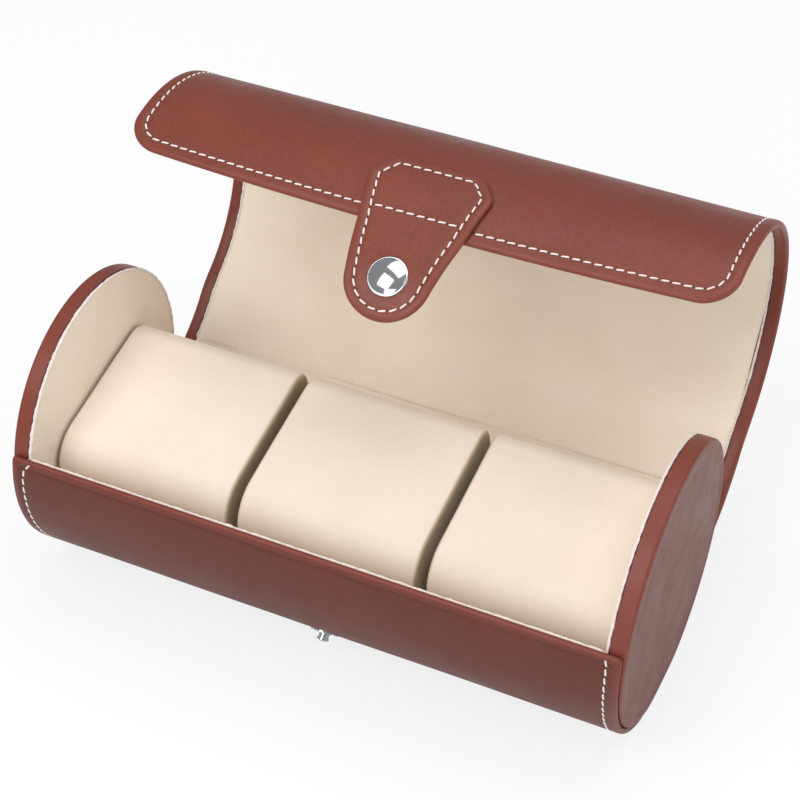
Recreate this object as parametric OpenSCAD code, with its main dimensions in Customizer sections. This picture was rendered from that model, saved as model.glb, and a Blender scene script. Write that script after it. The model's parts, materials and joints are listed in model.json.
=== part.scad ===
// Travel case for watches: a round leather case, open like a clam shell, with velvet pillows inside.
// X runs along the case, +Y to its back and +Z up. The origin is the centre of the flat it stands on.
// In the sections, angles are measured round the case's axis from the back (0) over the top (90).

/* [Case] */
// Length over the edges of the two end discs
case_length = 200; // [150:1:260]
// Outside radius of the leather round the base
base_r = 46.8; // [42:0.1:52]
// Half the width of the flat that the case stands on
foot_half = 15.8; // [14:0.5:19]
// Angle of the hinge below the axis, at the back
hinge_drop = 31; // [29:0.1:33]
// Angle of the base's front rim above the axis
rim_rise = 14.6; // [10:0.1:18]
// How far an end disc stands out of the leather wrap
disc_proud = 0.7; // [0.3:0.1:2]
// Depth of an end disc, from its outer edge to its velvet
disc_depth = 5.45; // [4.5:0.05:7]
// Height of the dome on an end disc
disc_dome = 0.8; // [0.3:0.1:1.5]
// Radius of an end disc's soft edge
disc_edge_r = 0.9; // [0.4:0.1:0.95]

/* [Layers] */
// Thickness of the leather
leather_t = 1; // [0.8:0.05:1.3]
// Thickness of the board in the base
board_t = 1.1; // [0.9:0.05:1.8]
// Thickness of the board in the lid
lid_board_t = 0.7; // [0.5:0.05:1.2]
// Thickness of the leather turned in round the lid's edge, and of its velvet
turn_in_t = 0.5; // [0.4:0.05:0.8]
// Thickness of the velvet linings of the base and the discs
lining_t = 0.55; // [0.4:0.05:0.8]
// Gap that the glue fills between two layers
glue = 0.05; // [0.04:0.01:0.1]
// Gap between an end disc and the shell round it
disc_fit = 0.15; // [0.1:0.05:0.3]
// How far the base's velvet stays below the rim
lining_drop = 0.8; // [0.4:0.1:1.5]

/* [Lid] */
// Angle of the lid's free edge below the axis when it is shut
lap_drop = 23.4; // [20:0.1:25]
// Angle that the spine behind the lid stands open at its lower fold
spine_open = 55.2; // [45:0.1:60]
// Angle that the lid stands open from its spine, at the upper fold
lid_relax = 28.1; // [26:0.1:40]
// Gap between the shut lid and the base under it
lap_gap = 0.3; // [0.25:0.05:0.6]
// Gap between the shut lid and the end discs
disc_gap = 0.3; // [0.25:0.05:0.6]
// How much shorter the lid is than the wrap at each end
lid_short = 1.05; // [0.5:0.05:2]
// Radius of the lid's free corners
corner_r = 11.4; // [8:0.1:16]
// How far the middle of the free edge reaches beyond its ends
edge_bow = 2.7; // [0:0.1:4]
// Width of the leather turned in at the lid's ends
side_border = 4.75; // [2.5:0.05:8]
// Width of the leather turned in at the free edge
edge_border = 6; // [4:0.1:10]

/* [Hinge] */
// Angle of the upper fold above the axis, at the back of the shut lid
spine_rise = 18; // [14:0.1:22]
// Length of the hinge leather on each side of the lower fold
hinge_reach = 6.9; // [5:0.1:8]
// Gap between the lower fold and the edge of each board
hinge_slot = 1.6; // [1.4:0.1:2.5]
// Gap between the lower fold and the edge of each velvet lining
hinge_lining_slot = 2.3; // [2:0.1:3.5]
// Gap between the two parts that meet at a fold
fold_gap = 0.1; // [0.08:0.01:0.2]

/* [Strap] */
// Half the width of the strap at its wide end
strap_half = 20.1; // [16:0.1:26]
// Radius of the strap's round tip
strap_tip_r = 13.65; // [11:0.05:16]
// Radius of the corners at the wide end
strap_corner_r = 11.6; // [6:0.1:13]
// How far the strap is sewn back over the lid
strap_back = 24.3; // [16:0.1:32]
// Distance from the lid's free edge to the cap
strap_reach = 17.45; // [15:0.05:22]
// How far the strap and snap sit to the right of the middle
strap_x = 1.2; // [-5:0.1:5]
// Thickness of the strap's outer leather
strap_leather_t = 1.1; // [0.9:0.05:1.4]
// Thickness of the strap's backing
strap_backing_t = 0.8; // [0.6:0.05:1.2]
// Room for the snap between the base's leather and the fastened strap
snap_room = 2.7; // [2.6:0.05:3.2]
// Distance from the lid's free edge to the strap's fold
fold_out = 1.1; // [1.1:0.05:2]
// Angle that the strap stands out from its fastened place
strap_lift = 16; // [0:0.1:35]

/* [Snap] */
// Diameter of the cap
cap_d = 12.5; // [11:0.1:15]
// Height of the cap's dome
cap_h = 2.4; // [1.8:0.1:3.5]
// Depth that the cap is pressed into the strap
cap_seat = 0.35; // [0.2:0.05:0.5]
// Diameter of the socket under the strap
socket_d = 10.5; // [9.5:0.1:12]
// Diameter of the hole in the socket
socket_bore = 4.3; // [4.2:0.05:5]
// Wall of the tube that joins the cap and the socket
post_wall = 0.3; // [0.25:0.05:0.4]
// Diameter of the stud's head
stud_head_d = 3.8; // [3.4:0.05:4]
// Diameter of the stud's neck
stud_neck_d = 3.2; // [2.8:0.05:3.2]
// Height of the stud above the leather
stud_h = 3.2; // [2.6:0.1:3.3]
// Diameter of the stud's flange
stud_flange_d = 9; // [8:0.1:11]
// Diameter of the wire in the socket's spring
spring_wire = 0.6; // [0.4:0.05:0.6]
// Diameter of the rivet's shank
shank_d = 1.8; // [1.4:0.1:2]
// Diameter of the rivet's flange
rivet_flange_d = 8.4; // [7:0.1:10]
// Gap round a rivet, a tube or a pressed seat
snap_fit = 0.1; // [0.05:0.01:0.15]

/* [Pillows] */
// Gap between an end pillow and the velvet of its disc
pillow_end_gap = 0.8; // [0.4:0.1:2]
// Depth of a pillow from front to back
pillow_depth = 59.5; // [50:0.1:62]
// How far a pillow's middle sits in front of the axis
pillow_front = 1.75; // [0:0.05:4]
// Height of a pillow's top above the axis
pillow_top = 13.15; // [8:0.05:16]
// Angle that a pillow's top falls to the front
pillow_tilt = 11.1; // [0:0.1:16]
// Radius of a pillow's front top edge
pillow_front_r = 12.3; // [8:0.1:16]
// Radius of a pillow's back top edge
pillow_back_r = 8; // [5:0.1:12]
// Radius of a pillow's two lower edges
pillow_low_r = 16; // [12:0.5:20]
// Radius of the edges at a pillow's two ends
pillow_end_r = 3.6; // [2.5:0.1:6]
// How far a pillow's ends draw in towards its corners
pillow_pinch = 0.35; // [0:0.05:0.8]
// How far a pillow's faces swell in the middle
pillow_crown = 0.7; // [0.2:0.05:1.2]
// Gap between a pillow and what it rests in
pillow_clear = 0.3; // [0.25:0.05:0.6]
// Gap between two pillows
pillow_gap = 3.2; // [1:0.1:5]
// Wall of velvet and wadding round the block in a pillow
pillow_wall = 9; // [7:0.5:12]

/* [Hidden] */
$fn = 180;

leather = [0.52, 0.26, 0.2];
leather_dark = [0.45, 0.2, 0.16];
velvet = [0.9, 0.84, 0.76];
card = [0.72, 0.66, 0.56];
metal = [0.82, 0.82, 0.84];

// A length that is longer than anything it cuts
far = 3 * base_r;
// How far a cutting solid runs past the face it cuts
past = 0.5;

// Heights and radii of the layers round the case's axis
axis_z = sqrt(base_r * base_r - foot_half * foot_half);
case_half = case_length / 2;
wrap_half = case_half - disc_proud;
shell_half = wrap_half - leather_t - glue;
shell_out = base_r - leather_t - glue;
shell_in = shell_out - board_t;
lining_out = shell_in - glue;
lining_in = lining_out - lining_t;
disc_r = shell_in - disc_fit;
velvet_half = case_half - disc_depth - lining_t - glue;
rim_a = 180 - rim_rise;
hinge_a = 360 - hinge_drop;

// The lower fold, in the middle of the leather, and the lid's own centre when it is shut
fold = (base_r - leather_t / 2) * unit(hinge_a);
lid_in = (base_r + lap_gap + disc_r + disc_gap) / 2;
lid_shift = (base_r + lap_gap - disc_r - disc_gap) / 2;
shift_a = (lap_drop - rim_rise) / 2;
lid_c = -lid_shift * unit(shift_a);
lid_leather_in = lid_in + turn_in_t + lid_board_t + 2 * glue;
lid_out = lid_leather_in + leather_t;
lid_half = wrap_half - lid_short;
lid_fold_a = angle_of(fold - lid_c);
lid_edge_a = 360 + angle_of((base_r + lap_gap) * unit(180 + lap_drop) - lid_c);

// The upper fold, in the middle of the lid's wall
lid_t = lid_out - lid_in;
lid_mid = lid_in + lid_t / 2;
upper_fold = lid_c + lid_mid * unit(spine_rise);
lid_start_a = spine_rise + arc(lid_t / 2 + fold_gap, lid_mid);

// The strap: the height of its inner face at the snap, its fold, the place of the snap, and the arc of its tongue when it is fastened
strap_seat_r = base_r + snap_room;
strap_t = strap_leather_t + glue + strap_backing_t;
root_in = lid_out + glue;
root_mid = root_in + strap_t / 2;
strap_fold = lid_c + root_mid * unit(lid_edge_a + arc(fold_out, root_mid));
fold_r = norm(strap_fold);
tongue_run = strap_reach - fold_out;
tongue_a = pow(strap_seat_r + strap_t / 2, 2) - pow(fold_r, 2);
tongue_in = (strap_seat_r * pow(tongue_run, 2) - tongue_a * strap_t / 2)
    / (pow(tongue_run, 2) + tongue_a);
tongue_mid = tongue_in + strap_t / 2;
tongue_turn = arc(tongue_run, tongue_mid);
tongue_shift = strap_seat_r - tongue_in;
snap_a = 360 + angle_of(strap_fold)
    + atan2(tongue_mid * sin(tongue_turn), tongue_shift + tongue_mid * cos(tongue_turn));
tongue_c = tongue_shift * unit(snap_a);
strap_taper = (strap_half - strap_tip_r) / (strap_back + strap_reach);

// Heights of the snap's faces, from the case's axis
flange_in = base_r - 0.2 * leather_t;
flange_t = 0.5;
stud_top = base_r + stud_h;
socket_in = base_r + 0.85;
cap_in = strap_seat_r + strap_t - cap_seat;

// The tube of the snap leaves room for the spring round the stud's neck
spring_r = stud_neck_d / 2 + snap_fit + spring_wire / 2;
post_r = spring_r + spring_wire / 2 + snap_fit + post_wall;

// The three pillows share the room between the discs
pillow_w = (2 * (velvet_half - pillow_end_gap - pillow_gap)) / 3;
pillow_pitch = pillow_w + pillow_gap;

function unit(a) = [cos(a), sin(a)];
function arc(run, r) = run / r * 180 / PI;
function angle_of(p) = atan2(p[1], p[0]);
function turned(p, about, a) =
    about + [(p - about)[0] * cos(a) - (p - about)[1] * sin(a),
             (p - about)[0] * sin(a) + (p - about)[1] * cos(a)];

// ---- sections, drawn with the back to the right and the top up ----

// Carries a section along the case, centred, at its height over the ground
module along(len) {
    translate([0, 0, axis_z]) rotate([90, 0, 90]) linear_extrude(height = len, center = true) children();
}

// A round of radius r with the case's flat under it, for the layer at that radius
module flat_round(r) {
    intersection() {
        circle(r);
        translate([-far / 2, base_r - r - axis_z]) square(far);
    }
}

// Everything between two angles, seen from a centre
module wedge(from_a, to_a, centre = [0, 0]) {
    steps = 8;
    translate(centre) polygon([[0, 0], for (i = [0:steps]) far * unit(from_a + (to_a - from_a) * i / steps)]);
}

// A layer of the base between two angles
module base_layer(r_out, r_in, from_a, to_a) {
    intersection() {
        difference() {
            flat_round(r_out);
            flat_round(r_in);
        }
        wedge(from_a, to_a);
    }
}

// A layer of the shut lid, or of the strap on it, between two angles round its own centre
module round_layer(r_out, r_in, from_a, to_a, centre) {
    intersection() {
        translate(centre) difference() {
            circle(r_out);
            circle(r_in);
        }
        wedge(from_a, to_a, centre);
    }
}

// ---- places ----

// Turns a piece outwards round a fold of the section
module unfolded(p, a) {
    translate([0, p[0], p[1] + axis_z]) rotate([-a, 0, 0]) translate([0, -p[0], -p[1] - axis_z]) children();
}

// From the shut case to where the spine, the lid and the strap are on the open one
module spine_opened() unfolded(fold, spine_open) children();
module opened() spine_opened() unfolded(upper_fold, lid_relax) children();
module lifted() opened() unfolded(strap_fold, strap_lift) children();

// Stands a piece on the line from a centre at an angle: its own +Z points outwards
module outwards(a, centre = [0, 0]) {
    translate([0, centre[0], centre[1] + axis_z]) rotate([a - 90, 0, 0]) children();
}

module on_snap() {
    translate([strap_x, 0, 0]) outwards(snap_a) children();
}

// ---- the base ----

cap_mid = (base_r + shell_in) / 2;
cap_r = (base_r - shell_in) / 2;
cap_a = rim_a + arc(cap_r, cap_mid);

module base_cover() {
    color(leather) difference() {
        along(2 * wrap_half) {
            base_layer(base_r, shell_in, cap_a, hinge_a - arc(hinge_reach + 2 * glue, base_r));
            translate(cap_mid * unit(cap_a)) circle(cap_r);
        }
        along(2 * (shell_half + glue)) intersection() {
            flat_round(base_r - leather_t);
            wedge(rim_a + arc(leather_t + cap_r, cap_mid), hinge_a);
        }
        on_snap() translate([0, 0, flange_in]) cylinder(d = stud_flange_d + 2 * snap_fit, h = far);
        on_snap() cylinder(d = stud_neck_d + 2 * snap_fit, h = far);
    }
}

module base_shell() {
    color(card) difference() {
        along(2 * shell_half)
            base_layer(shell_out, shell_in, rim_a + arc(leather_t + cap_r + glue, cap_mid),
                hinge_a - arc(hinge_slot, base_r));
        on_snap() cylinder(d = stud_neck_d + 2 * snap_fit, h = far);
        on_snap() translate([0, 0, shell_in - past])
            cylinder(d = rivet_flange_d + 2 * snap_fit, h = past + flange_t + snap_fit);
    }
}

module base_lining() {
    color(velvet) along(2 * (velvet_half - glue))
        base_layer(lining_out, lining_in, rim_a + arc(lining_drop, lining_out),
            hinge_a - arc(hinge_lining_slot, base_r));
}

// ---- the end discs ----

// Cuts a round piece to the case's flat, at the layer of radius r
module over_flat(r) {
    intersection() {
        children();
        translate([-case_length, -far / 2, base_r - r]) cube([2 * case_length, far, far]);
    }
}

// Turns a profile of [radius, x] round the case's axis, at the right-hand end or at the left
module end_turned(side) {
    translate([0, 0, axis_z]) mirror([side < 0 ? 1 : 0, 0, 0]) rotate([0, 90, 0])
        rotate_extrude() children();
}

// The disc's outside, as [radius, x]: a shallow dome, worked out on its sphere, and a soft round edge
module disc_profile() {
    foot_r = disc_r - disc_edge_r;
    back = case_half - disc_depth;
    dome_r = (pow(foot_r, 2) + pow(disc_dome, 2)) / (2 * disc_dome);
    steps = 12;
    dome = [for (i = [0:steps]) let (r = foot_r * i / steps)
        [r, case_half + disc_dome - dome_r + sqrt(dome_r * dome_r - r * r)]];
    edge = [for (i = [1:steps]) [foot_r, case_half - disc_edge_r] + disc_edge_r * unit(90 - 90 * i / steps)];
    polygon(concat([[0, back]], dome, edge, [[disc_r, back]]));
}

module end_cover(side) {
    color(leather_dark) over_flat(disc_r) end_turned(side) difference() {
        disc_profile();
        translate([0, case_half - disc_depth - past])
            square([disc_r - leather_t, disc_depth - leather_t + past]);
    }
}

module end_board(side) {
    color(card) over_flat(disc_r - leather_t - glue) end_turned(side)
        translate([0, case_half - disc_depth])
            square([disc_r - leather_t - glue, disc_depth - leather_t - glue]);
}

module end_lining(side) {
    color(velvet) over_flat(disc_r) end_turned(side)
        translate([0, velvet_half]) square([disc_r, lining_t]);
}

module end_cover_left() end_cover(-1);
module end_cover_right() end_cover(1);
module end_board_left() end_board(-1);
module end_board_right() end_board(1);
module end_lining_left() end_lining(-1);
module end_lining_right() end_lining(1);

// ---- the lid ----

// Takes away what lies beyond the lid's free edge, drawn in by a border
module beyond_edge(border) {
    end = lid_half - border;
    low = edge_bow * pow((lid_half - corner_r) / lid_half, 2);
    r = corner_r - border;
    steps = 12;
    side = [for (i = [0:steps]) let (a = 90 * i / steps)
        [lid_half - corner_r + r * cos(a), low + corner_r - r * sin(a)]];
    middle = [for (i = [1:2 * steps - 1]) let (x = (lid_half - corner_r) * (1 - i / steps))
        [x, border + edge_bow * pow(x / lid_half, 2)]];
    outline = concat(side, middle, [for (i = [steps:-1:0]) [-side[i][0], side[i][1]]]);
    outwards(lid_edge_a, lid_c) translate([0, 0, lid_in / 2]) linear_extrude(height = lid_in)
        polygon(concat([[-far, -far], [far, -far], [far, outline[0][1]]], outline,
            [[-far, outline[0][1]]]));
}

// A layer of the lid from the upper fold, or short of it, to the free edge
module lid_layer(r_out, r_in, short, border, side) {
    difference() {
        along(2 * (lid_half - side)) round_layer(r_out, r_in, lid_start_a + arc(short, lid_mid),
            lid_edge_a + arc(past, lid_in), lid_c);
        beyond_edge(border);
    }
}

module lid_cover() {
    edge = leather_t + glue;
    color(leather) opened() difference() {
        lid_layer(lid_out, lid_in, 0, 0, 0);
        lid_layer(lid_leather_in, lid_in + turn_in_t, edge, edge, edge);
        lid_layer(lid_in + turn_in_t + glue, lid_in - past, edge, edge_border, side_border);
    }
}

module lid_board() {
    edge = leather_t + 2 * glue;
    color(card) opened()
        lid_layer(lid_leather_in - glue, lid_in + turn_in_t + glue, edge, edge, edge);
}

module lid_lining() {
    color(velvet) opened() lid_layer(lid_in + turn_in_t, lid_in, leather_t + 2 * glue,
        edge_border + glue, side_border + glue);
}

// ---- the spine behind the lid, between its two folds ----

// A layer of the spine, from above the lower fold to the upper one
module spine_layer(r_out, r_in, slot, side) {
    along(2 * (lid_half - side))
        round_layer(r_out, r_in, lid_fold_a + arc(slot, lid_mid), spine_rise, lid_c);
}

module spine_cover() {
    edge = leather_t + glue;
    color(leather) spine_opened() difference() {
        union() {
            spine_layer(lid_out, lid_in, hinge_reach + 2 * glue, 0);
            along(2 * lid_half) translate(upper_fold) circle(lid_t / 2, $fn = 48);
        }
        spine_layer(lid_leather_in, lid_in + turn_in_t, 0, edge);
        spine_layer(lid_in + turn_in_t + glue, lid_in - past, 0, side_border);
    }
}

module spine_board() {
    color(card) spine_opened()
        spine_layer(lid_leather_in - glue, lid_in + turn_in_t + glue, hinge_slot, leather_t + 2 * glue);
}

module spine_lining() {
    color(velvet) spine_opened()
        spine_layer(lid_in + turn_in_t, lid_in, hinge_lining_slot, side_border + glue);
}

// ---- the hinge ----

// A strip that leaves its first end along one line and comes to its other end along another
function bend(p, q, p_dir, q_dir, pull, i, n) = let (s = i / n, u = 1 - s)
    u * u * u * p + 3 * u * u * s * (p + pull * p_dir) + 3 * u * s * s * (q - pull * q_dir) + s * s * s * q;
function bend_way(p, q, p_dir, q_dir, pull, i, n) = let (s = i / n, u = 1 - s,
    v = u * u * pull * p_dir + 2 * u * s * (q - p - pull * (p_dir + q_dir)) + s * s * pull * q_dir)
    v / norm(v);

module bent_strip(p, q, p_dir, q_dir, pull, t, len) {
    n = 16;
    side = function(i, off) let (d = bend_way(p, q, p_dir, q_dir, pull, i, n))
        bend(p, q, p_dir, q_dir, pull, i, n) + off * [-d[1], d[0]];
    along(len) polygon(concat([for (i = [0:n]) side(i, t / 2)], [for (i = [n:-1:0]) side(i, -t / 2)]));
}

// A point of the shut spine, and a direction along it, where they are when it stands open
function spine_point(r, a) = turned(lid_c + r * unit(a), fold, -spine_open);
function spine_way(a) = unit(a + 90 - spine_open);

module hinge_leather() {
    a = hinge_a - arc(hinge_reach, base_r);
    b = lid_fold_a + arc(hinge_reach, lid_mid);
    color(leather_dark) bent_strip((base_r - leather_t / 2) * unit(a), spine_point(lid_out - leather_t / 2, b),
        unit(a + 90), spine_way(b), 0.8 * hinge_reach, leather_t, 2 * lid_half);
}

module hinge_lining() {
    a = hinge_a - arc(hinge_lining_slot - glue, base_r);
    b = lid_fold_a + arc(hinge_lining_slot - glue, lid_mid);
    color(velvet) bent_strip((lining_in + lining_t / 2) * unit(a), spine_point(lid_in + turn_in_t / 2, b),
        unit(a + 90), spine_way(b), hinge_lining_slot, turn_in_t, 2 * (velvet_half - glue));
}

// ---- the strap ----

// Outline of the whole strap round the snap's centre, with its tip down and its wide end up
module strap_outline() {
    wide = strap_back + strap_reach;
    lean = atan(strap_taper);
    corner = strap_half - strap_corner_r / cos(lean) + strap_corner_r * tan(lean);
    steps = 8;
    right = concat(
        [for (i = [0:2 * steps]) let (a = -90 + (90 + lean) * i / (2 * steps)) strap_tip_r / cos(lean) * unit(a)],
        [for (i = [0:steps]) let (a = lean + (90 - lean) * i / steps)
            [corner, wide - strap_corner_r] + strap_corner_r * unit(a)]);
    n = len(right) - 1;
    polygon(concat(right, [for (i = [n:-1:1]) [-right[i][0], right[i][1]]]));
}

// Cuts a layer of the strap to its outline, seen from outside at an angle, run mm from the snap
module to_outline(a, centre, run) {
    intersection() {
        children();
        translate([strap_x, 0, 0]) outwards(a, centre) translate([0, -run, base_r / 2])
            linear_extrude(height = base_r) strap_outline();
    }
}

// The part that is sewn on the lid, between two heights over the lid's leather
module root_layer(from_t, to_t) {
    back_a = lid_edge_a - arc(strap_back / 2, root_mid);
    end_a = lid_edge_a + arc(fold_out - strap_t / 2 - fold_gap, root_mid);
    opened() to_outline(back_a, lid_c, strap_reach + strap_back / 2)
        along(4 * strap_half) round_layer(root_in + to_t, root_in + from_t,
            lid_edge_a - arc(strap_back + past, root_mid), end_a, lid_c);
}

module strap_root() {
    color(leather) root_layer(strap_backing_t + glue, strap_t);
}

module strap_root_backing() {
    color(leather_dark) root_layer(0, strap_backing_t);
}

// The tongue, fastened, between two heights over its inner face
module tongue_layer(from_t, to_t) {
    to_outline(snap_a, tongue_c, 0) along(4 * strap_half) intersection() {
        union() {
            round_layer(tongue_in + strap_t, tongue_in, snap_a - tongue_turn,
                snap_a + arc(strap_tip_r + past, tongue_mid), tongue_c);
            translate(strap_fold) circle(strap_t / 2);
        }
        translate(tongue_c) difference() {
            circle(tongue_in + to_t);
            circle(tongue_in + from_t);
        }
    }
}

module strap_tongue() {
    color(leather) lifted() difference() {
        tongue_layer(strap_backing_t + glue, strap_t);
        on_snap() cylinder(r = post_r + snap_fit, h = far);
        on_snap() translate([0, 0, cap_in]) cylinder(d = cap_d + 2 * snap_fit, h = far);
    }
}

module strap_backing() {
    color(leather_dark) lifted() difference() {
        tongue_layer(0, strap_backing_t);
        on_snap() cylinder(r = post_r + snap_fit, h = far);
        on_snap() cylinder(d = socket_d + 2 * snap_fit, h = strap_seat_r + cap_seat);
    }
}

// ---- the snap: profiles of [radius, height from the case's axis] ----

module snap_turned() {
    on_snap() rotate_extrude($fn = 64) children();
}

// A dome of a diameter and height on a straight edge, its foot at height z
module dome_profile(d, h, edge, z) {
    r = (pow(d / 2, 2) + pow(h - edge, 2)) / (2 * (h - edge));
    intersection() {
        union() {
            translate([0, z]) square([d / 2, edge]);
            translate([0, z + h - r]) circle(r);
        }
        translate([0, z]) square([d / 2, h]);
    }
}

module snap_cap() {
    edge = 0.4;
    post_foot = socket_in + flange_t + snap_fit;
    color(metal) lifted() snap_turned() {
        dome_profile(cap_d, cap_h, edge, cap_in);
        translate([post_r - post_wall, post_foot]) square([post_wall, cap_in - post_foot + edge]);
    }
}

// Ring that grips the stud; its spring lies in the groove round the bore
module snap_socket() {
    wall_in = socket_bore / 2;
    top = strap_seat_r + cap_seat - snap_fit;
    groove = socket_in + flange_t;
    color(metal) lifted() snap_turned() difference() {
        translate([wall_in, socket_in]) square([socket_d / 2 - wall_in, top - socket_in]);
        translate([wall_in - past, groove]) square([post_r + snap_fit - wall_in + past, far]);
        translate([socket_d / 2, top]) rotate(45) square(flange_t, center = true);
        translate([socket_d / 2, socket_in]) rotate(45) square(flange_t, center = true);
    }
}

// Spring wire in a horseshoe round the stud's neck
module socket_spring() {
    mouth = 50;
    color(metal) lifted() on_snap() translate([0, 0, socket_in + flange_t + snap_fit + spring_wire / 2])
        rotate([0, 0, mouth / 2]) rotate_extrude(angle = 360 - mouth, $fn = 64)
            translate([spring_r, 0]) circle(d = spring_wire, $fn = 24);
}

module snap_stud() {
    bore = shank_d + 2 * snap_fit;
    neck_top = stud_top - 1.1;
    hub = 0.4;
    color(metal) snap_turned() difference() {
        union() {
            translate([0, flange_in]) square([stud_flange_d / 2, flange_t]);
            translate([0, flange_in]) square([stud_neck_d / 2 + hub, flange_t + hub]);
            translate([0, flange_in]) square([stud_neck_d / 2, neck_top - flange_in]);
            dome_profile(stud_head_d, stud_top - neck_top, (stud_top - neck_top) / 2, neck_top);
        }
        translate([-past, flange_in - past]) square([bore / 2 + past, neck_top - flange_in]);
    }
}

module stud_rivet() {
    color(metal) snap_turned() {
        translate([0, shell_in]) square([rivet_flange_d / 2, flange_t]);
        translate([0, shell_in]) square([shank_d / 2, flange_in + flange_t + snap_fit - shell_in]);
    }
}

// ---- the pillows ----

pillow_low = axis_z - (base_r - lining_in) - pillow_clear;
pillow_u = pillow_depth / 2;
// The lower front edge rests on the lining's flat: its round is tangent to it in the tilted section
pillow_bottom = (pillow_low - pillow_low_r
    - (pillow_u + pillow_front - pillow_low_r) * sin(pillow_tilt)) / cos(pillow_tilt) + pillow_low_r;

// Corners of the section: centre, radius and the angle at which each round starts
function pillow_corners(inset) = let (
    f = -pillow_front - pillow_u, b = -pillow_front + pillow_u, low = pillow_low_r)
    [[[b - pillow_back_r, pillow_top - pillow_back_r], pillow_back_r - inset, 0],
     [[f + pillow_front_r, pillow_top - pillow_front_r], pillow_front_r - inset, 90],
     [[f + low, -pillow_bottom + low], low - inset, 180],
     [[b - low, -pillow_bottom + low], low - inset, 270]];

// How much a point of the section swells: nothing at the corners, all in the middle of a face
function swell(i, n, crown) = crown * sin(180 * i / n);

// One ring of the pillow, inset at its ends; faces between the rounds swell by the crown
corner_steps = 5;
face_steps = 4;
function pillow_ring(inset, crown) = let (c = pillow_corners(inset)) [
    for (k = [0:3]) let (
        this = c[k], next = c[(k + 1) % 4],
        from_p = this[0] + this[1] * unit(this[2] + 90), to_p = next[0] + next[1] * unit(next[2]),
        out = unit(this[2] + 90))
        each concat(
            [for (i = [0:corner_steps]) this[0] + this[1] * unit(this[2] + 90 * i / corner_steps)],
            [for (i = [1:face_steps - 1]) from_p + (to_p - from_p) * i / face_steps
                + swell(i, face_steps, k == 2 ? 0 : crown) * out])];

// Rings along the pillow: [x, inset, share of the crown]; the edges at its two ends are round
end_steps = 3;
function end_ring(side, i) = let (a = 90 * i / end_steps)
    [side * (pillow_w / 2 - pillow_end_r * (1 - sin(a))), pillow_end_r * (1 - cos(a)), 0];
function pillow_stations() = concat(
    [for (i = [end_steps:-1:0]) end_ring(-1, i)],
    [for (i = [-1:1]) [i * pillow_w / 4, 0, 1 - i * i / 2]],
    [for (i = [0:end_steps]) end_ring(1, i)]);

// Joins rings of points into one closed skin, with a middle point on each end
module lofted(rings, mids) {
    n = len(rings[0]);
    m = len(rings);
    points = concat([for (r = rings) each r], mids);
    skin = [for (j = [0:m - 2], i = [0:n - 1]) let (
        a = j * n + i, b = j * n + (i + 1) % n, c = b + n, d = a + n) each [[a, c, b], [a, d, c]]];
    start = [for (i = [0:n - 1]) [m * n, i, (i + 1) % n]];
    finish = [for (i = [0:n - 1]) [m * n + 1, (m - 1) * n + (i + 1) % n, (m - 1) * n + i]];
    polyhedron(points, concat(skin, start, finish), convexity = 4);
}

// A block's half width and its box in the section, inside the pillow's wall
core_half = pillow_w / 2 - pillow_wall;
module core_block(grow) {
    f = -pillow_front - pillow_u + pillow_wall;
    b = -pillow_front + pillow_u - pillow_wall;
    translate([-core_half - grow, f - grow, -pillow_bottom + pillow_wall - grow])
        cube([2 * (core_half + grow), b - f + 2 * grow, pillow_bottom + pillow_top - 2 * pillow_wall + 2 * grow]);
}

// Puts a pillow's piece in its place: 0 is the middle one, -1 and 1 its neighbours
module pillow_place(slot) {
    translate([slot * pillow_pitch, 0, axis_z]) rotate([pillow_tilt, 0, 0]) children();
}

module pillow(slot) {
    rings = [for (s = pillow_stations())
        [for (p = pillow_ring(s[1], s[2] * pillow_crown)) [s[0], p[0], p[1]]]];
    ends = [for (side = [-1, 1])
        [side * (pillow_w / 2 - pillow_pinch), -pillow_front, (pillow_top - pillow_bottom) / 2]];
    color(velvet) pillow_place(slot) difference() {
        lofted(rings, ends);
        core_block(glue);
    }
}

module pillow_core(slot) {
    color(card) pillow_place(slot) core_block(0);
}

module pillow_left() pillow(-1);
module pillow_middle() pillow(0);
module pillow_right() pillow(1);
module pillow_core_left() pillow_core(-1);
module pillow_core_middle() pillow_core(0);
module pillow_core_right() pillow_core(1);

base_cover();
base_shell();
base_lining();
end_cover_left();
end_cover_right();
end_board_left();
end_board_right();
end_lining_left();
end_lining_right();
stud_rivet();
snap_stud();
hinge_leather();
hinge_lining();
spine_cover();
spine_board();
spine_lining();
lid_cover();
lid_board();
lid_lining();
strap_root();
strap_root_backing();
strap_tongue();
strap_backing();
snap_cap();
snap_socket();
socket_spring();
pillow_left();
pillow_middle();
pillow_right();
pillow_core_left();
pillow_core_middle();
pillow_core_right();
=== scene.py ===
# %% [markdown]
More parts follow.
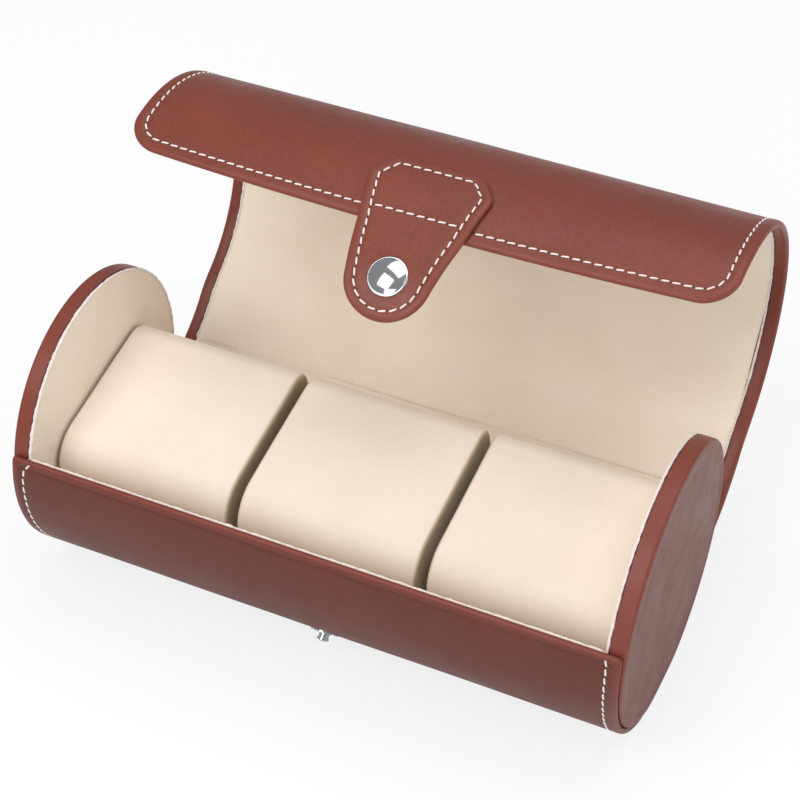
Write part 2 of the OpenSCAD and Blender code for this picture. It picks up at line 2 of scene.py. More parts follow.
# # A round leather travel case for three watches
# The case is a drum lying on its side: a stiff base with a disc at each end, a springy lid that
# folds at the back, a strap with a snap, and three velvet pillows. The imported CAD model is the
# frame: every piece here is placed from the same numbers as the CAD, and the discs, the pillows,
# the cap and the cloth edges of the rim and the discs ride on its bodies.

# %%  Load the frame
import json
import math
import bmesh
import bpy
import numpy as np
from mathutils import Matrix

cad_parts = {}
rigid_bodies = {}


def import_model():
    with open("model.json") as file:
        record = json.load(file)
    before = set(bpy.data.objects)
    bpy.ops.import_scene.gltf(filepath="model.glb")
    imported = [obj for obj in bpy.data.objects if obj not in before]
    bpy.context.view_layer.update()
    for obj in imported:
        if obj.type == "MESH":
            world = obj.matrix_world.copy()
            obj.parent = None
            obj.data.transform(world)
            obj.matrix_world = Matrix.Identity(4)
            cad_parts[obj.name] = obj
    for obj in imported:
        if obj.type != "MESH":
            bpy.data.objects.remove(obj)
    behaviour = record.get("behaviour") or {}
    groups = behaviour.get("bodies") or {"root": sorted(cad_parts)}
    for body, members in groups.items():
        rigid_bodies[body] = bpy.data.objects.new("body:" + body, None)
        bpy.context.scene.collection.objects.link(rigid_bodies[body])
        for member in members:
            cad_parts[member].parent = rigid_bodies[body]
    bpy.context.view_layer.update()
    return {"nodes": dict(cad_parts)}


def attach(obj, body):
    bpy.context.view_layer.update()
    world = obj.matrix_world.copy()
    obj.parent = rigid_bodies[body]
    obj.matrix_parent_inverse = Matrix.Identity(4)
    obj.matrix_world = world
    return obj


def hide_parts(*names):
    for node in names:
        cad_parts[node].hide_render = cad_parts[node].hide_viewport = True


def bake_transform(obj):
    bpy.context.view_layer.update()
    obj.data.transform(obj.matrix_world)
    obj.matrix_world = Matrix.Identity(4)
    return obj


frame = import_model()

# %% [markdown]
# ## The numbers that the case is drawn from
# All lengths are in millimetres. The section is drawn in a plane with the hinge to the right and
# up at the top, centred on the drum's axis. These are the values of the CAD, so that the leather
# and the velvet lie where the CAD's layers do.

# %%  Sizes and the folds
MM = 0.001
BASE_R = 46.8  # outside of the leather round the base
FOOT_HALF = 15.8  # half the width of the flat it stands on
AXIS_Z = math.sqrt(BASE_R**2 - FOOT_HALF**2)
RIM_A, HINGE_A = 165.4, 329.0  # where the base's leather starts and where it folds
WRAP_HALF = 99.3  # half the length of the base's leather
DISC_R = 44.5
LINING_IN = 44.05  # inner face of the base's velvet
LID_IN, LID_OUT = 45.95, 48.25  # inner and outer face of the shut lid, about its own axis
LID_SHIFT, LID_SHIFT_A = -1.15, 4.4  # how far that axis is from the base's, and which way
LID_HALF = 98.25
LID_FOLD_A, SPINE_RISE, LID_EDGE_A = -30.19, 18.0, 203.866  # lower fold, upper fold, free edge
SPINE_OPEN, LID_RELAX, STRAP_LIFT = 55.2, 28.1, 16.0  # from shut to the open case, in degrees
STRAP_X, STRAP_T = 1.2, 1.95


def unit(a):
    """The direction at an angle of a degrees."""
    return np.stack([np.cos(np.radians(a)), np.sin(np.radians(a))], axis=-1)


def turned(p, about, a):
    """Points of the section turned by a degrees, towards the top, round a point."""
    d = np.asarray(p, float) - about
    c, s = math.cos(math.radians(a)), math.sin(math.radians(a))
    return np.stack([d[..., 0] * c - d[..., 1] * s, d[..., 0] * s + d[..., 1] * c], -1) + about


def arc_deg(run, r):
    """The angle of an arc of that length."""
    return math.degrees(run / r)


LID_C = LID_SHIFT * unit(LID_SHIFT_A)
FOLD = (BASE_R - 0.5) * unit(HINGE_A)
UPPER_FOLD = LID_C + (LID_IN + LID_OUT) / 2 * unit(SPINE_RISE)


def on_spine(p):
    """From the shut case to the open spine."""
    return turned(p, FOLD, -SPINE_OPEN)


def on_lid(p):
    """From the shut case to the open lid."""
    return on_spine(turned(p, UPPER_FOLD, -LID_RELAX))


print("lower fold", FOLD.round(2), "upper fold", on_spine(UPPER_FOLD).round(2))

# %% [markdown]
# ## From arrays to meshes
# Every new piece is a grid of points worked out by numpy. One helper finds the quads of a grid,
# one puts points and quads into a mesh, and one closes its seams. Using whole arrays keeps each
# surface's formula in one place, where it can be read and changed.


# %%  Mesh helpers
def full_turn(n):
    """n angles round a full turn, in radians."""
    return np.linspace(0, 2 * math.pi, n, endpoint=False)


def grid_faces(rows, cols, start=0, closed=False):
    """Quads of a grid of rows x cols points; closed joins the last column to the first."""
    i = np.arange(rows - 1)[:, None]
    j = np.arange(cols if closed else cols - 1)[None, :]
    k = (j + 1) % cols
    quads = np.stack([i * cols + j, i * cols + k, (i + 1) * cols + k, (i + 1) * cols + j], -1)
    return quads.reshape(-1, 4) + start


def added(name, data):
    """A new object in the scene, with that data."""
    made = bpy.data.objects.new(name, data)
    bpy.context.scene.collection.objects.link(made)
    return made


def add_mesh(name, points, quads, edge=None):
    """A smooth mesh object from points in mm and quads; edge is each point's distance from an edge,
    which places painted highlight and painted shade.
    """
    mesh = bpy.data.meshes.new(name)
    mesh.from_pydata((np.asarray(points, float) * MM).tolist(), [], quads.tolist())
    if edge is not None:
        mesh.attributes.new("painted_light_edge_distance", "FLOAT", "POINT").data.foreach_set(
            "value", np.asarray(edge, np.float32))
    mesh.update()
    mesh.shade_smooth()
    return added(name, mesh)


def merged(piece, gap=0.004):
    """Joins doubled points and drops faces without area, so that seams and poles are closed."""
    bm = bmesh.new()
    bm.from_mesh(piece.data)
    bmesh.ops.remove_doubles(bm, verts=bm.verts, dist=gap * MM)
    bmesh.ops.dissolve_degenerate(bm, dist=gap * MM / 4, edges=bm.edges)
    bmesh.ops.recalc_face_normals(bm, faces=bm.faces)
    bm.to_mesh(piece.data)
    bm.free()
    piece.data.shade_smooth()
    return piece


# %% [markdown]
# ## A line that the leather follows
# Seen from the end, the leather and the velvet are lines: round the base, across a fold, and round
# the lid. A line is kept as dense points with the distance run along them, so that anything can be
# placed by how far along and how far out it is. Where two bodies meet at a fold, a smooth bridge
# (a Hermite curve, set by its two ends and their directions) joins them.


# %%  Section lines
def distance_run(points):
    """The distance run along a line of points, 0 at the first."""
    return np.r_[0, np.cumsum(np.hypot(*np.diff(points, axis=0).T))]


class SectionLine:
    """A line in the section: points by the distance run, and the outward direction there."""

    def __init__(self, points):
        points = np.asarray(points, float)
        step = np.hypot(*np.diff(points, axis=0).T)
        keep = np.r_[True, step > 1e-6]
        self.points = points[keep]
        self.run = distance_run(self.points)
        way = np.gradient(self.points, self.run, axis=0)
        way /= np.hypot(*way.T)[:, None]
        self.out = np.stack([way[:, 1], -way[:, 0]], -1)
        self.length = self.run[-1]

    def at(self, s, h=0.0):
        """Points that lie s along the line and h outwards from it; beyond its ends it runs straight."""
        s = np.asarray(s, float)
        p = np.stack([np.interp(s, self.run, self.points[:, k]) for k in (0, 1)], -1)
        n = np.stack([np.interp(s, self.run, self.out[:, k]) for k in (0, 1)], -1)
        n /= np.hypot(n[..., 0], n[..., 1])[..., None]
        way = np.stack([-n[..., 1], n[..., 0]], -1)
        beyond = np.clip(s - self.length, 0, None) + np.clip(s, None, 0)
        return p + way * beyond[..., None] + n * np.asarray(h, float)[..., None]

    def run_near(self, point):
        """How far along the line its nearest point to that one is."""
        return float(self.run[np.hypot(*(self.points - point).T).argmin()])


def bridge(p0, way0, p1, way1, n=60):
    """A Hermite curve from p0 to p1 that leaves and arrives in the given directions."""
    t = np.linspace(0, 1, n)[:, None]
    reach = np.hypot(*(p1 - p0)) * 1.05
    return ((2 * t**3 - 3 * t**2 + 1) * p0 + (t**3 - 2 * t**2 + t) * way0 * reach
            + (3 * t**2 - 2 * t**3) * p1 + (t**3 - t**2) * way1 * reach)


FLAT_BLEND = 2.2  # how sharply the round goes over into the flat, per mm
FLAT_CLEAR = 4.0  # where the flat is that far outside the round, it has no share in it
POWER_SHIFT = 40.0  # taken off the radii, so that the powers stay in range


def base_arc(r, from_a, to_a, n=700):
    """A round of radius r about the axis with the case's flat under it, softly joined: the smooth
    minimum of the two radii, the log of the sum of their negative powers."""
    a = np.linspace(from_a, to_a, n)
    low = AXIS_Z - (BASE_R - r)
    flat = low / np.maximum(-np.sin(np.radians(a)), 0.2)
    powers = np.exp(-FLAT_BLEND * (r - POWER_SHIFT)) + np.exp(-FLAT_BLEND * (flat - POWER_SHIFT))
    radius = np.where(flat > r + FLAT_CLEAR, r, -np.log(powers) / FLAT_BLEND + POWER_SHIFT)
    return unit(a) * radius[:, None]


FOLD_REACH = 5.0  # how far from a fold its bridge starts and ends
MID_A = -6.0  # the middle of the spine, where the two skins meet


def spine_arc(r, from_a, to_a, n=200):
    """A round of radius r about the lid's axis, carried to the open spine."""
    return on_spine(LID_C + r * unit(np.linspace(from_a, to_a, n)))


def lid_arc(r, from_a, to_a, n=900):
    """A round of radius r about the lid's axis, carried to the open lid."""
    return on_lid(LID_C + r * unit(np.linspace(from_a, to_a, n)))


def joined(first, second):
    """The first line, a bridge, and the second line."""
    way0 = (first[-1] - first[-2]) / np.hypot(*(first[-1] - first[-2]))
    way1 = (second[1] - second[0]) / np.hypot(*(second[1] - second[0]))
    return np.vstack([first, bridge(first[-1], way0, second[0], way1)[1:-1], second])


def across_lower_fold(base_r, lid_r, from_a, reach=FOLD_REACH):
    """Round the base, over the lower fold and up to the middle of the spine."""
    start = HINGE_A - arc_deg(reach, base_r)
    on = LID_FOLD_A + arc_deg(reach, lid_r)
    return joined(base_arc(base_r, from_a, start), spine_arc(lid_r, on, MID_A))


def across_upper_fold(lid_r, reach=FOLD_REACH):
    """From the middle of the spine over the upper fold and round the lid to its free edge."""
    below = SPINE_RISE - arc_deg(reach, lid_r)
    above = SPINE_RISE + arc_deg(reach, lid_r)
    return joined(spine_arc(lid_r, MID_A, below), lid_arc(lid_r, above, LID_EDGE_A))


base_line = SectionLine(across_lower_fold(BASE_R, LID_OUT, RIM_A))
lid_line = SectionLine(across_upper_fold(LID_OUT))
print("leather round the base %.1f mm, round the lid %.1f mm" % (base_line.length, lid_line.length))

# %% [markdown]
# ## A slab with rolled edges
# The base, the lid and the strap are all board or leather with the skin rolled round the edge. One
# function makes them: an outline, filled with a Coons patch (a grid that fits four edge curves),
# once for the outside and once for the inside, and a half-round rim between the two. Where a slab
# carries on in another piece, its edge is left plain, so that the two meet without a groove.


# %%  The slab
def graded(n, length, fine=0.35, zone=9.0):
    """n + 1 places from 0 to length, packed closer within a zone at each end."""
    x = np.linspace(0, length, 4000)
    near = np.exp(-np.minimum(x, length - x) / zone)
    density = 1 + (1 / fine - 1) * near
    total = np.r_[0, np.cumsum((density[1:] + density[:-1]) / 2 * np.diff(x))]
    return np.interp(np.linspace(0, total[-1], n + 1), total, x)


def coons(bottom, right, top, left):
    """Grid of points inside four edge curves: both pairs are blended, less the corners' share."""
    run, rise = distance_run(bottom), distance_run(left)
    u = (run / run[-1])[None, :, None]
    v = (rise / rise[-1])[:, None, None]
    along = (1 - v) * bottom[None] + v * top[None]
    across = (1 - u) * left[:, None] + u * right[:, None]
    corners = ((1 - u) * (1 - v) * bottom[0] + u * (1 - v) * bottom[-1]
               + (1 - u) * v * top[0] + u * v * top[-1])
    return along + across - corners


def edge_distance(grid, loop):
    """How far each grid point is from the outline, as the shortest way to any of its points."""
    flat = grid.reshape(-1, 2)
    near = np.full(len(flat), 1e9)
    for part in np.array_split(loop, max(1, len(loop) // 60)):  # in parts, to spare memory
        near = np.minimum(near, np.hypot(flat[:, None, 0] - part[None, :, 0],
                                         flat[:, None, 1] - part[None, :, 1]).min(1))
    return near


RELIEF_START = 0.8  # from the edge, over which the relief grows from nothing
# The inner face counts as far from any edge, so the painted edge highlight stays off it.
INNER_FACE = 99.0  # stands for a distance far from any edge, for the finish


def slab(name, sides, place, thick, relief=None, plain=(), rim_steps=8, under=None):
    """A slab in the plane of (x, run): sides are its bottom, right, top and left edge curves, already
    half a thickness inside the real edge. place(x, s, h) puts a point h above the inner face.
    relief(x, s, d) raises the outside, d from its edge, and under(x, s, d) the inner face. plain
    names the sides that have no rim."""
    bottom, right, top, left = sides
    inner = coons(bottom, right, top, left)
    rows, cols = inner.shape[:2]
    loop_index = np.r_[np.arange(cols), np.arange(1, rows) * cols + cols - 1,
                       (rows - 1) * cols + np.arange(cols - 2, -1, -1),
                       np.arange(rows - 2, 0, -1) * cols]
    flat = inner.reshape(-1, 2)
    loop = flat[loop_index]
    way = np.roll(loop, -1, 0) - np.roll(loop, 1, 0)
    way /= np.maximum(np.hypot(*way.T), 1e-9)[:, None]
    out = np.stack([way[:, 1], -way[:, 0]], -1)
    roll = np.ones(len(loop))
    if "bottom" in plain:
        roll[1:cols - 1] = 0
        out[0], out[cols - 1] = (-1, 0), (1, 0)
    if "top" in plain:
        first, last = cols + rows - 2, 2 * cols + rows - 3
        roll[first + 1:last] = 0
        out[first], out[last] = (1, 0), (-1, 0)
    far = edge_distance(flat, loop[roll > 0]) + thick / 2
    lift = relief(flat[:, 0], flat[:, 1], far) if relief else np.zeros(len(flat))
    lift = lift * np.clip((far - thick / 2) / RELIEF_START, 0, 1)
    sink = under(flat[:, 0], flat[:, 1], far) if under else 0.0
    outside = place(flat[:, 0], flat[:, 1], thick + lift)
    inside = place(flat[:, 0], flat[:, 1], 0 * lift + sink)
    # Each point's distance from the rim places the painted highlight on the rolled edges; the rim's own
    # rings are at distance 0.
    points, quads, painted_edge_distance = [outside, inside], [], [far, np.full(len(flat), INNER_FACE)]
    count = len(flat)
    quads.append(grid_faces(rows, cols))
    quads.append(grid_faces(rows, cols, count)[:, ::-1])
    ring = loop_index
    start = 2 * count
    for k in range(1, rim_steps + 1):
        turn = math.pi / 2 - math.pi * k / rim_steps
        if k < rim_steps:
            p = loop + out * (thick / 2 * math.cos(turn) * roll)[:, None]
            points.append(place(p[:, 0], p[:, 1], thick / 2 * (1 + math.sin(turn)) + 0 * p[:, 0]))
            painted_edge_distance.append(np.zeros(len(loop)))
            new = start + np.arange(len(loop))
            start += len(loop)
        else:
            new = count + loop_index
        quads.append(np.stack([ring, new, np.roll(new, -1), np.roll(ring, -1)], -1))
        ring = new
    piece = add_mesh(name, np.vstack(points), np.vstack(quads)[:, ::-1], np.concatenate(painted_edge_distance))
    print("%s: %d points" % (name, start))
    return piece


def box_sides(x_half, s0, s1, nx, ns):
    """The four edges of a plain rectangle, wide at each s as x_half(s)."""
    s = s0 + graded(ns, s1 - s0)
    share = graded(nx, 2.0, zone=9.0 / 99) - 1
    half = np.vectorize(x_half)(s) if callable(x_half) else np.full(len(s), x_half)
    bottom = np.stack([share * half[0], np.full(nx + 1, s[0])], -1)
    top = np.stack([share * half[-1], np.full(nx + 1, s[-1])], -1)
    left = np.stack([-half, s], -1)
    right = np.stack([half, s], -1)
    return bottom, right, top, left


def in_space(x, p):
    """Section points p at the place x along the case, as points in mm over the ground."""
    return np.stack([x + 0 * p[..., 0], p[..., 0], p[..., 1] + AXIS_Z], -1)


def bend_over(line, run, reach):
    """The stretch of a line that bends, reach to both sides of run: its two ends, in metres."""
    return dict(start=tuple(in_space(0, line.at(run - reach)) * MM),
                end=tuple(in_space(0, line.at(run + reach)) * MM))


# %% [markdown]
# ## The leather round the base
# On the real case one sheet of imitation leather is glued round a cardboard drum, rolled over the
# front rim and both ends, and carried on as the hinge. A crease is pressed in below the rim, where
# the rolled edge ends, and the skin lies a little proud there.

# %%  Base leather
WALL_T = 2.15
CREASE = 2.7  # from the rim to the crease
STITCH_IN = 4.0  # from the edge to the stitches
SEAM_OVERLAP = 0.7  # the base's skin runs that far under the lid's
SPINE_RUN, NARROWING_RUN = 32, 14  # from a line's end to where it narrows, and over what length
FOLD_BEND = 4  # the skin bends over that much to both sides of a fold


def ridge(x, at, width):
    """A bell: 1 at its place, falling off with the square of the distance in widths."""
    return np.exp(-((x - at) / width) ** 2)


def on_spine_share(s, line):
    """0 round the base and 1 on the spine, with a straight slope between."""
    return np.clip((s - (line.length - SPINE_RUN)) / NARROWING_RUN, 0, 1)


def base_half(s):
    """Half width of the leather: as wide as the drum, a little less on the spine."""
    t = on_spine_share(s, base_line)
    return WRAP_HALF - WALL_T / 2 - (WRAP_HALF - LID_HALF) * t * t * (3 - 2 * t)


def skin_relief(x, s):
    """Long, shallow waves of hand-laid leather: sines of unlike lengths, under a tenth of a mm."""
    return (0.035 * np.sin(x / 17 + s / 23) + 0.03 * np.sin(x / 9.3 - s / 31 + 1.3)
            + 0.02 * np.sin(x / 41 + 0.7) * np.cos(s / 12))


def base_relief(x, s, d):
    """Crease below the rim, a soft roll above it, and a gutter along the stitches at the ends."""
    side = WRAP_HALF - np.abs(x)
    crease = ridge(s, CREASE, 0.42) * np.clip(side / 3, 0, 1)
    roll = ridge(s, 1.3, 0.9)
    gutter = ridge(side, STITCH_IN, 0.75)
    puff = ridge(side, 2.0, 0.9)
    return skin_relief(x, s) - 0.3 * crease + 0.12 * roll - 0.16 * gutter + 0.07 * puff


def place_base(x, s, h):
    """A point of the base's wall, h above its inner face."""
    return in_space(x, base_line.at(s, h - WALL_T))


base_leather = slab("base_leather",
                    box_sides(base_half, WALL_T / 2, base_line.length + SEAM_OVERLAP, 150, 170),
                    place_base, WALL_T, relief=base_relief, plain=("top",))
lower_bend = bend_over(base_line, base_line.run_near(FOLD), FOLD_BEND)
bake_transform(base_leather)
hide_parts("base_cover", "hinge_leather")

# %% [markdown]
# ## The leather over the lid
# The lid is a sheet of springy card with leather over it. The leather carries on from the spine,
# is rolled round three edges with round corners, and is stitched four millimetres in. The stitches
# pull it into a gutter, and the strip outside them stands up like a cord. The piece is one closed
# wall, which also stands for the two cards inside it: they would show as a hairline at the fold.

# %%  Lid leather
LID_T = LID_OUT - LID_IN
CORNER_R = 11.4
EDGE_BOW = 2.7  # how far the free edge bows out in the middle


def lid_outline(side_in, end_in, start, corner_steps=14, nx=150, ns=150):
    """The lid's four edges, that far inside the real edge: both corners are arcs, cut in half between
    the side and the free edge, and the free edge bows out in the middle."""
    half = LID_HALF - side_in
    r = CORNER_R - end_in
    centre_x = half - r
    end = lid_line.length - end_in
    centre_s = end - EDGE_BOW * (centre_x / LID_HALF) ** 2 - r
    a = np.radians(np.linspace(0, 45, corner_steps))
    side_s = start + graded(ns - corner_steps + 1, centre_s - start, fine=0.6)
    right = np.vstack([np.stack([np.full(len(side_s), half), side_s], -1),
                       np.stack([centre_x + r * np.cos(a[1:]), centre_s + r * np.sin(a[1:])], -1)])
    b = a + math.pi / 4
    middle = centre_x * (1 - graded(nx - 2 * corner_steps + 2, 2.0, fine=0.6, zone=0.1))
    bow = end - EDGE_BOW * (middle / LID_HALF) ** 2
    arc = np.stack([centre_x + r * np.cos(b), centre_s + r * np.sin(b)], -1)
    top = np.vstack([arc, np.stack([middle, bow], -1)[1:-1], (arc * [-1, 1])[::-1]])[::-1]
    left = right * [-1, 1]
    bottom = np.stack([np.linspace(-half, half, len(top)), np.full(len(top), start)], -1)
    return bottom, right, top, left


def lid_relief(x, s, d):
    """A gutter under the stitches, a full edge outside it, and the waves of the skin."""
    return skin_relief(x, s + 50) - 0.2 * ridge(d, STITCH_IN, 0.8) + 0.1 * ridge(d, 2.2, 1.0)


def place_lid(x, s, h):
    """A point of the lid's wall, h above its inner face."""
    return in_space(x, lid_line.at(s, h - LID_T))


lid_leather = slab("lid_leather", lid_outline(LID_T / 2, LID_T / 2, 0.0), place_lid, LID_T,
                   relief=lid_relief, plain=("bottom",))
upper_bend = bend_over(lid_line, lid_line.run_near(on_spine(UPPER_FOLD)), FOLD_BEND)
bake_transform(lid_leather)
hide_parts("lid_cover", "spine_cover", "lid_board", "spine_board")

# %% [markdown]
# ## The velvet linings
# Cream velvet is glued over the cardboard inside. It is a thin sheet with a soft edge: one piece
# lines the base and runs over the lower fold, the other lines the lid. Its face is slightly uneven
# and dips to the board at the edge, where it is glued down.

# %%  Linings
VELVET_T = 0.55
VELVET_PROUD = 0.2  # how far the velvet stands out of the lid's inner face
VELVET_HALF = 93.85  # half the length of the base's lining, which lies between the discs
RIM_BORDER, VELVET_OVERLAP = 0.8, 0.3  # bare at the front rim, and over the seam on the spine
EDGE_BORDER, SIDE_BORDER = 6.05, 4.8  # bare leather round the lid's lining


def velvet_swell(x, s, d):
    """Slow unevenness of glued cloth, and the edge that dips to the board over a millimetre."""
    slow = 0.05 * np.sin(x / 13 + 2 * np.sin(s / 19)) + 0.04 * np.sin(s / 11 - x / 37)
    return slow + 0.3 * np.exp(-d / 0.5)


base_velvet_line = SectionLine(across_lower_fold(LINING_IN, LID_IN - VELVET_PROUD, RIM_A))
lid_velvet_line = SectionLine(across_upper_fold(LID_IN - VELVET_PROUD))


def velvet_half(s):
    """The lining is a little narrower on the spine than between the discs."""
    return VELVET_HALF - 0.5 * on_spine_share(s, base_velvet_line) - VELVET_T / 2


def place_base_velvet(x, s, h):
    """A point of the base's lining, h above its inner face."""
    return in_space(x, base_velvet_line.at(s, h))


def place_lid_velvet(x, s, h):
    """A point of the lid's lining, h above its inner face."""
    return in_space(x, lid_velvet_line.at(s, h))


base_velvet_sides = box_sides(velvet_half, RIM_BORDER + VELVET_T / 2,
                              base_velvet_line.length + VELVET_OVERLAP, 90, 110)
base_velvet = slab("base_velvet", base_velvet_sides, place_base_velvet, VELVET_T, plain=("top",),
                   rim_steps=5, under=velvet_swell)
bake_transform(base_velvet)
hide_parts("base_lining", "hinge_lining", "spine_lining")


def lining_outline(grow=0.0, nx=110, ns=110):
    """The lid lining's edges; its length is measured on its own line, which is shorter."""
    sides = lid_outline(SIDE_BORDER - grow + VELVET_T / 2, EDGE_BORDER - grow + VELVET_T / 2, 0.0,
                        nx=nx, ns=ns)
    share = lid_velvet_line.length / lid_line.length
    return [side * [1, share] for side in sides]


lid_velvet = slab("lid_velvet", lining_outline(), place_lid_velvet, VELVET_T, plain=("bottom",),
                  rim_steps=5, under=velvet_swell)
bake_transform(lid_velvet)
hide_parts("lid_lining")

# %% [markdown]
# ## The discs that close the drum
# Each end is a board disc with leather drawn over its outside and velvet over its inside. The
# leather bulges a little over the board's edge. A disc is a profile turned round the axis; the part
# under the drum's flat is cut level.

# %%  Discs
DISC_FLAT = AXIS_Z - (BASE_R - DISC_R)  # from the axis down to where the discs are cut level
DISC_FACE, DISC_BACK = 100.0, 94.6  # the leather's outer face at its edge, and its turned-in back
DISC_DOME = 0.8
EDGE_ROUND, BACK_ROUND = 0.9, 0.5  # rounds of the leather's edge, outside and at its back
PILE_FACE, PILE_BACK = 93.95, 94.55  # the velvet's face and its back


def turned_disc(name, side, radius, out, around=256):
    """Turns (radius, out) points round the axis at the right end or the left, cut level below."""
    a = full_turn(around)
    y = radius[:, None] * np.cos(a)
    z = np.maximum(radius[:, None] * np.sin(a), -DISC_FLAT)
    points = np.stack([side * (out[:, None] + 0 * y), y, z + AXIS_Z], -1).reshape(-1, 3)
    # For the leather, the distance in from the rim places the painted highlight on its rolled edge.
    piece = add_mesh(name, points, grid_faces(len(radius), around, closed=True),
                     edge=np.repeat(DISC_R - radius, around))
    return merged(piece)


def disc_leather():
    """The leather: a shallow dome, a groove inside the soft edge, the rim and the turned-in back."""
    round_r = DISC_R - EDGE_ROUND
    r = np.linspace(0, round_r - 0.05, 70)
    face = DISC_FACE + DISC_DOME * (1 - (r / round_r) ** 2) + 0.16 * ridge(r, 42.2, 1.1)
    face -= 0.07 * ridge(r, 39.4, 1.4)
    edge = EDGE_ROUND * unit(np.linspace(90, 0, 10)[1:]) + [round_r, DISC_FACE - EDGE_ROUND]
    down = np.linspace(99.0, 95.0, 12)
    low = BACK_ROUND * unit(np.linspace(0, -90, 7)[1:]) + [DISC_R - BACK_ROUND, down[-1]]
    radius = np.concatenate([r, edge[:, 0], np.full(len(down), DISC_R), low[:, 0], [43.0, 0.0]])
    out = np.concatenate([face, edge[:, 1], down, low[:, 1], [DISC_BACK, DISC_BACK]])
    return radius, out


def disc_velvet():
    """The velvet: almost flat, with a soft edge that nearly touches the leather's."""
    r = np.linspace(0, 43.4, 50)
    face = PILE_FACE + 0.06 * np.sin(r / 5)
    edge = [0.45, -0.4] * unit(np.linspace(90, -60, 8)) + [43.6, 94.4]
    return np.concatenate([r, edge[:, 0], [0.0]]), np.concatenate([face, edge[:, 1], [PILE_BACK]])


for side, end in ((-1, "left"), (1, "right")):
    leather_disc = turned_disc("disc_leather_" + end, side, *disc_leather())
    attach(leather_disc, "base")
    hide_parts("end_cover_" + end)
    velvet_disc = turned_disc("disc_velvet_" + end, side, *disc_velvet())
    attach(velvet_disc, "base")
    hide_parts("end_lining_" + end)

# %% [markdown]
# ## The strap
# Two layers of leather, sewn together, with a round tip. The wide end is sewn on the lid, and the
# strap bends where it leaves it. Its outline is a set of arcs and straight sides; the section line
# carries it from the lid to where it hangs.

# %%  Strap
STRAP_HALF, TIP_R = 20.1, 13.65  # half the width of the wide end, and the tip's radius
CLIP_X, CLIP_RUN, CLIP_R = 6.4, 8.2, 4.6  # the clipped corners: across, along, and their rounds
STRAP_BACK, STRAP_REACH = 24.3, 17.45  # from the lid's edge to the wide end and to the snap
SOCKET_R, SOCKET_DEPTH = 5.2, 1.3
GLUE = 0.05
FOLD_OUT = 1.1  # the strap bends that far past the lid's edge
STRAP_BEND = 2.5  # and over that much to both sides
ROOT_OUT = LID_OUT + GLUE + STRAP_T
root_mid = ROOT_OUT - STRAP_T / 2
strap_fold = LID_C + root_mid * unit(LID_EDGE_A + arc_deg(FOLD_OUT, root_mid))
# The fastened tongue is an arc with its own centre: inner radius, turn from the bend to the snap,
# and the snap's angle, as the CAD works them out from the snap's height and the strap's reach
TONGUE_C = np.array([-1.62873, -1.53245])
TONGUE_IN, TONGUE_TURN, SNAP_A = 47.2637, 19.4198, 223.255


def on_strap(p):
    """From the fastened strap to where it hangs on the open lid."""
    return on_lid(turned(p, strap_fold, -STRAP_LIFT))


def strap_arc():
    """The strap's outside: round the lid, a bridge at the bend, and the tongue."""
    reach = 3.0
    tongue_out = TONGUE_IN + STRAP_T
    root = lid_arc(ROOT_OUT, LID_EDGE_A - arc_deg(STRAP_BACK + 1, root_mid),
                   LID_EDGE_A + arc_deg(FOLD_OUT - reach, root_mid), 200)
    tongue = on_strap(TONGUE_C + tongue_out * unit(np.linspace(
        SNAP_A - TONGUE_TURN + arc_deg(reach, tongue_out),
        SNAP_A + arc_deg(TIP_R + 1, tongue_out), 200)))
    return joined(root, tongue)


strap_line = SectionLine(strap_arc())
snap_seat = on_strap(TONGUE_C + (TONGUE_IN + STRAP_T) * unit(SNAP_A))
snap_run = strap_line.run_near(snap_seat)


def resampled(points, n):
    """n + 1 points by even steps along an open line."""
    run = distance_run(points)
    s = np.linspace(0, run[-1], n + 1)
    return np.stack([np.interp(s, run, points[:, k]) for k in (0, 1)], -1)


def rounded_corner(corner, way_in, way_out, r, n=24):
    """An arc of radius r that turns one direction into the other at a corner (turning left)."""
    turn = math.acos(float(np.clip(np.dot(way_in, way_out), -1, 1)))
    centre = (corner - way_in * r * math.tan(turn / 2)
              + r * np.array([-way_in[1], way_in[0]]))
    first = math.degrees(math.atan2(way_in[1], way_in[0])) - 90
    return centre + r * unit(first + np.linspace(0, math.degrees(turn), n))


def strap_edge(inset):
    """The strap's closed outline seen from outside, the snap at the origin and the root up: a round
    tip, straight sides that leave it square to its radius, and two clipped, rounded corners."""
    wide = STRAP_BACK + STRAP_REACH
    lean = math.asin((STRAP_HALF - TIP_R) / (wide - CLIP_RUN))
    side = np.array([math.sin(lean), math.cos(lean)])
    clip = np.array([-CLIP_X, CLIP_RUN]) / math.hypot(CLIP_X, CLIP_RUN)
    low = np.array([STRAP_HALF, wide - CLIP_RUN])
    tip = TIP_R * unit(np.linspace(-90, -math.degrees(lean), 60))
    right = np.vstack([tip, rounded_corner(low, side, clip, CLIP_R),
                       rounded_corner(low + [-CLIP_X, CLIP_RUN], clip, np.array([-1.0, 0]), CLIP_R)])
    loop = resampled(np.vstack([right, (right * [-1, 1])[::-1]]), 1200)[:-1]
    way = np.roll(loop, -1, 0) - np.roll(loop, 1, 0)
    way /= np.hypot(*way.T)[:, None]
    return loop + inset * np.stack([-way[:, 1], way[:, 0]], -1)


def closed_loop(loop):
    """The loop with its first point once more at its end."""
    return np.vstack([loop, loop[:1]])


def strap_sheet(p):
    """From the strap's outline, the snap at its origin, to (x, run) along its section line."""
    return np.stack([STRAP_X + p[:, 0], snap_run - p[:, 1]], -1)


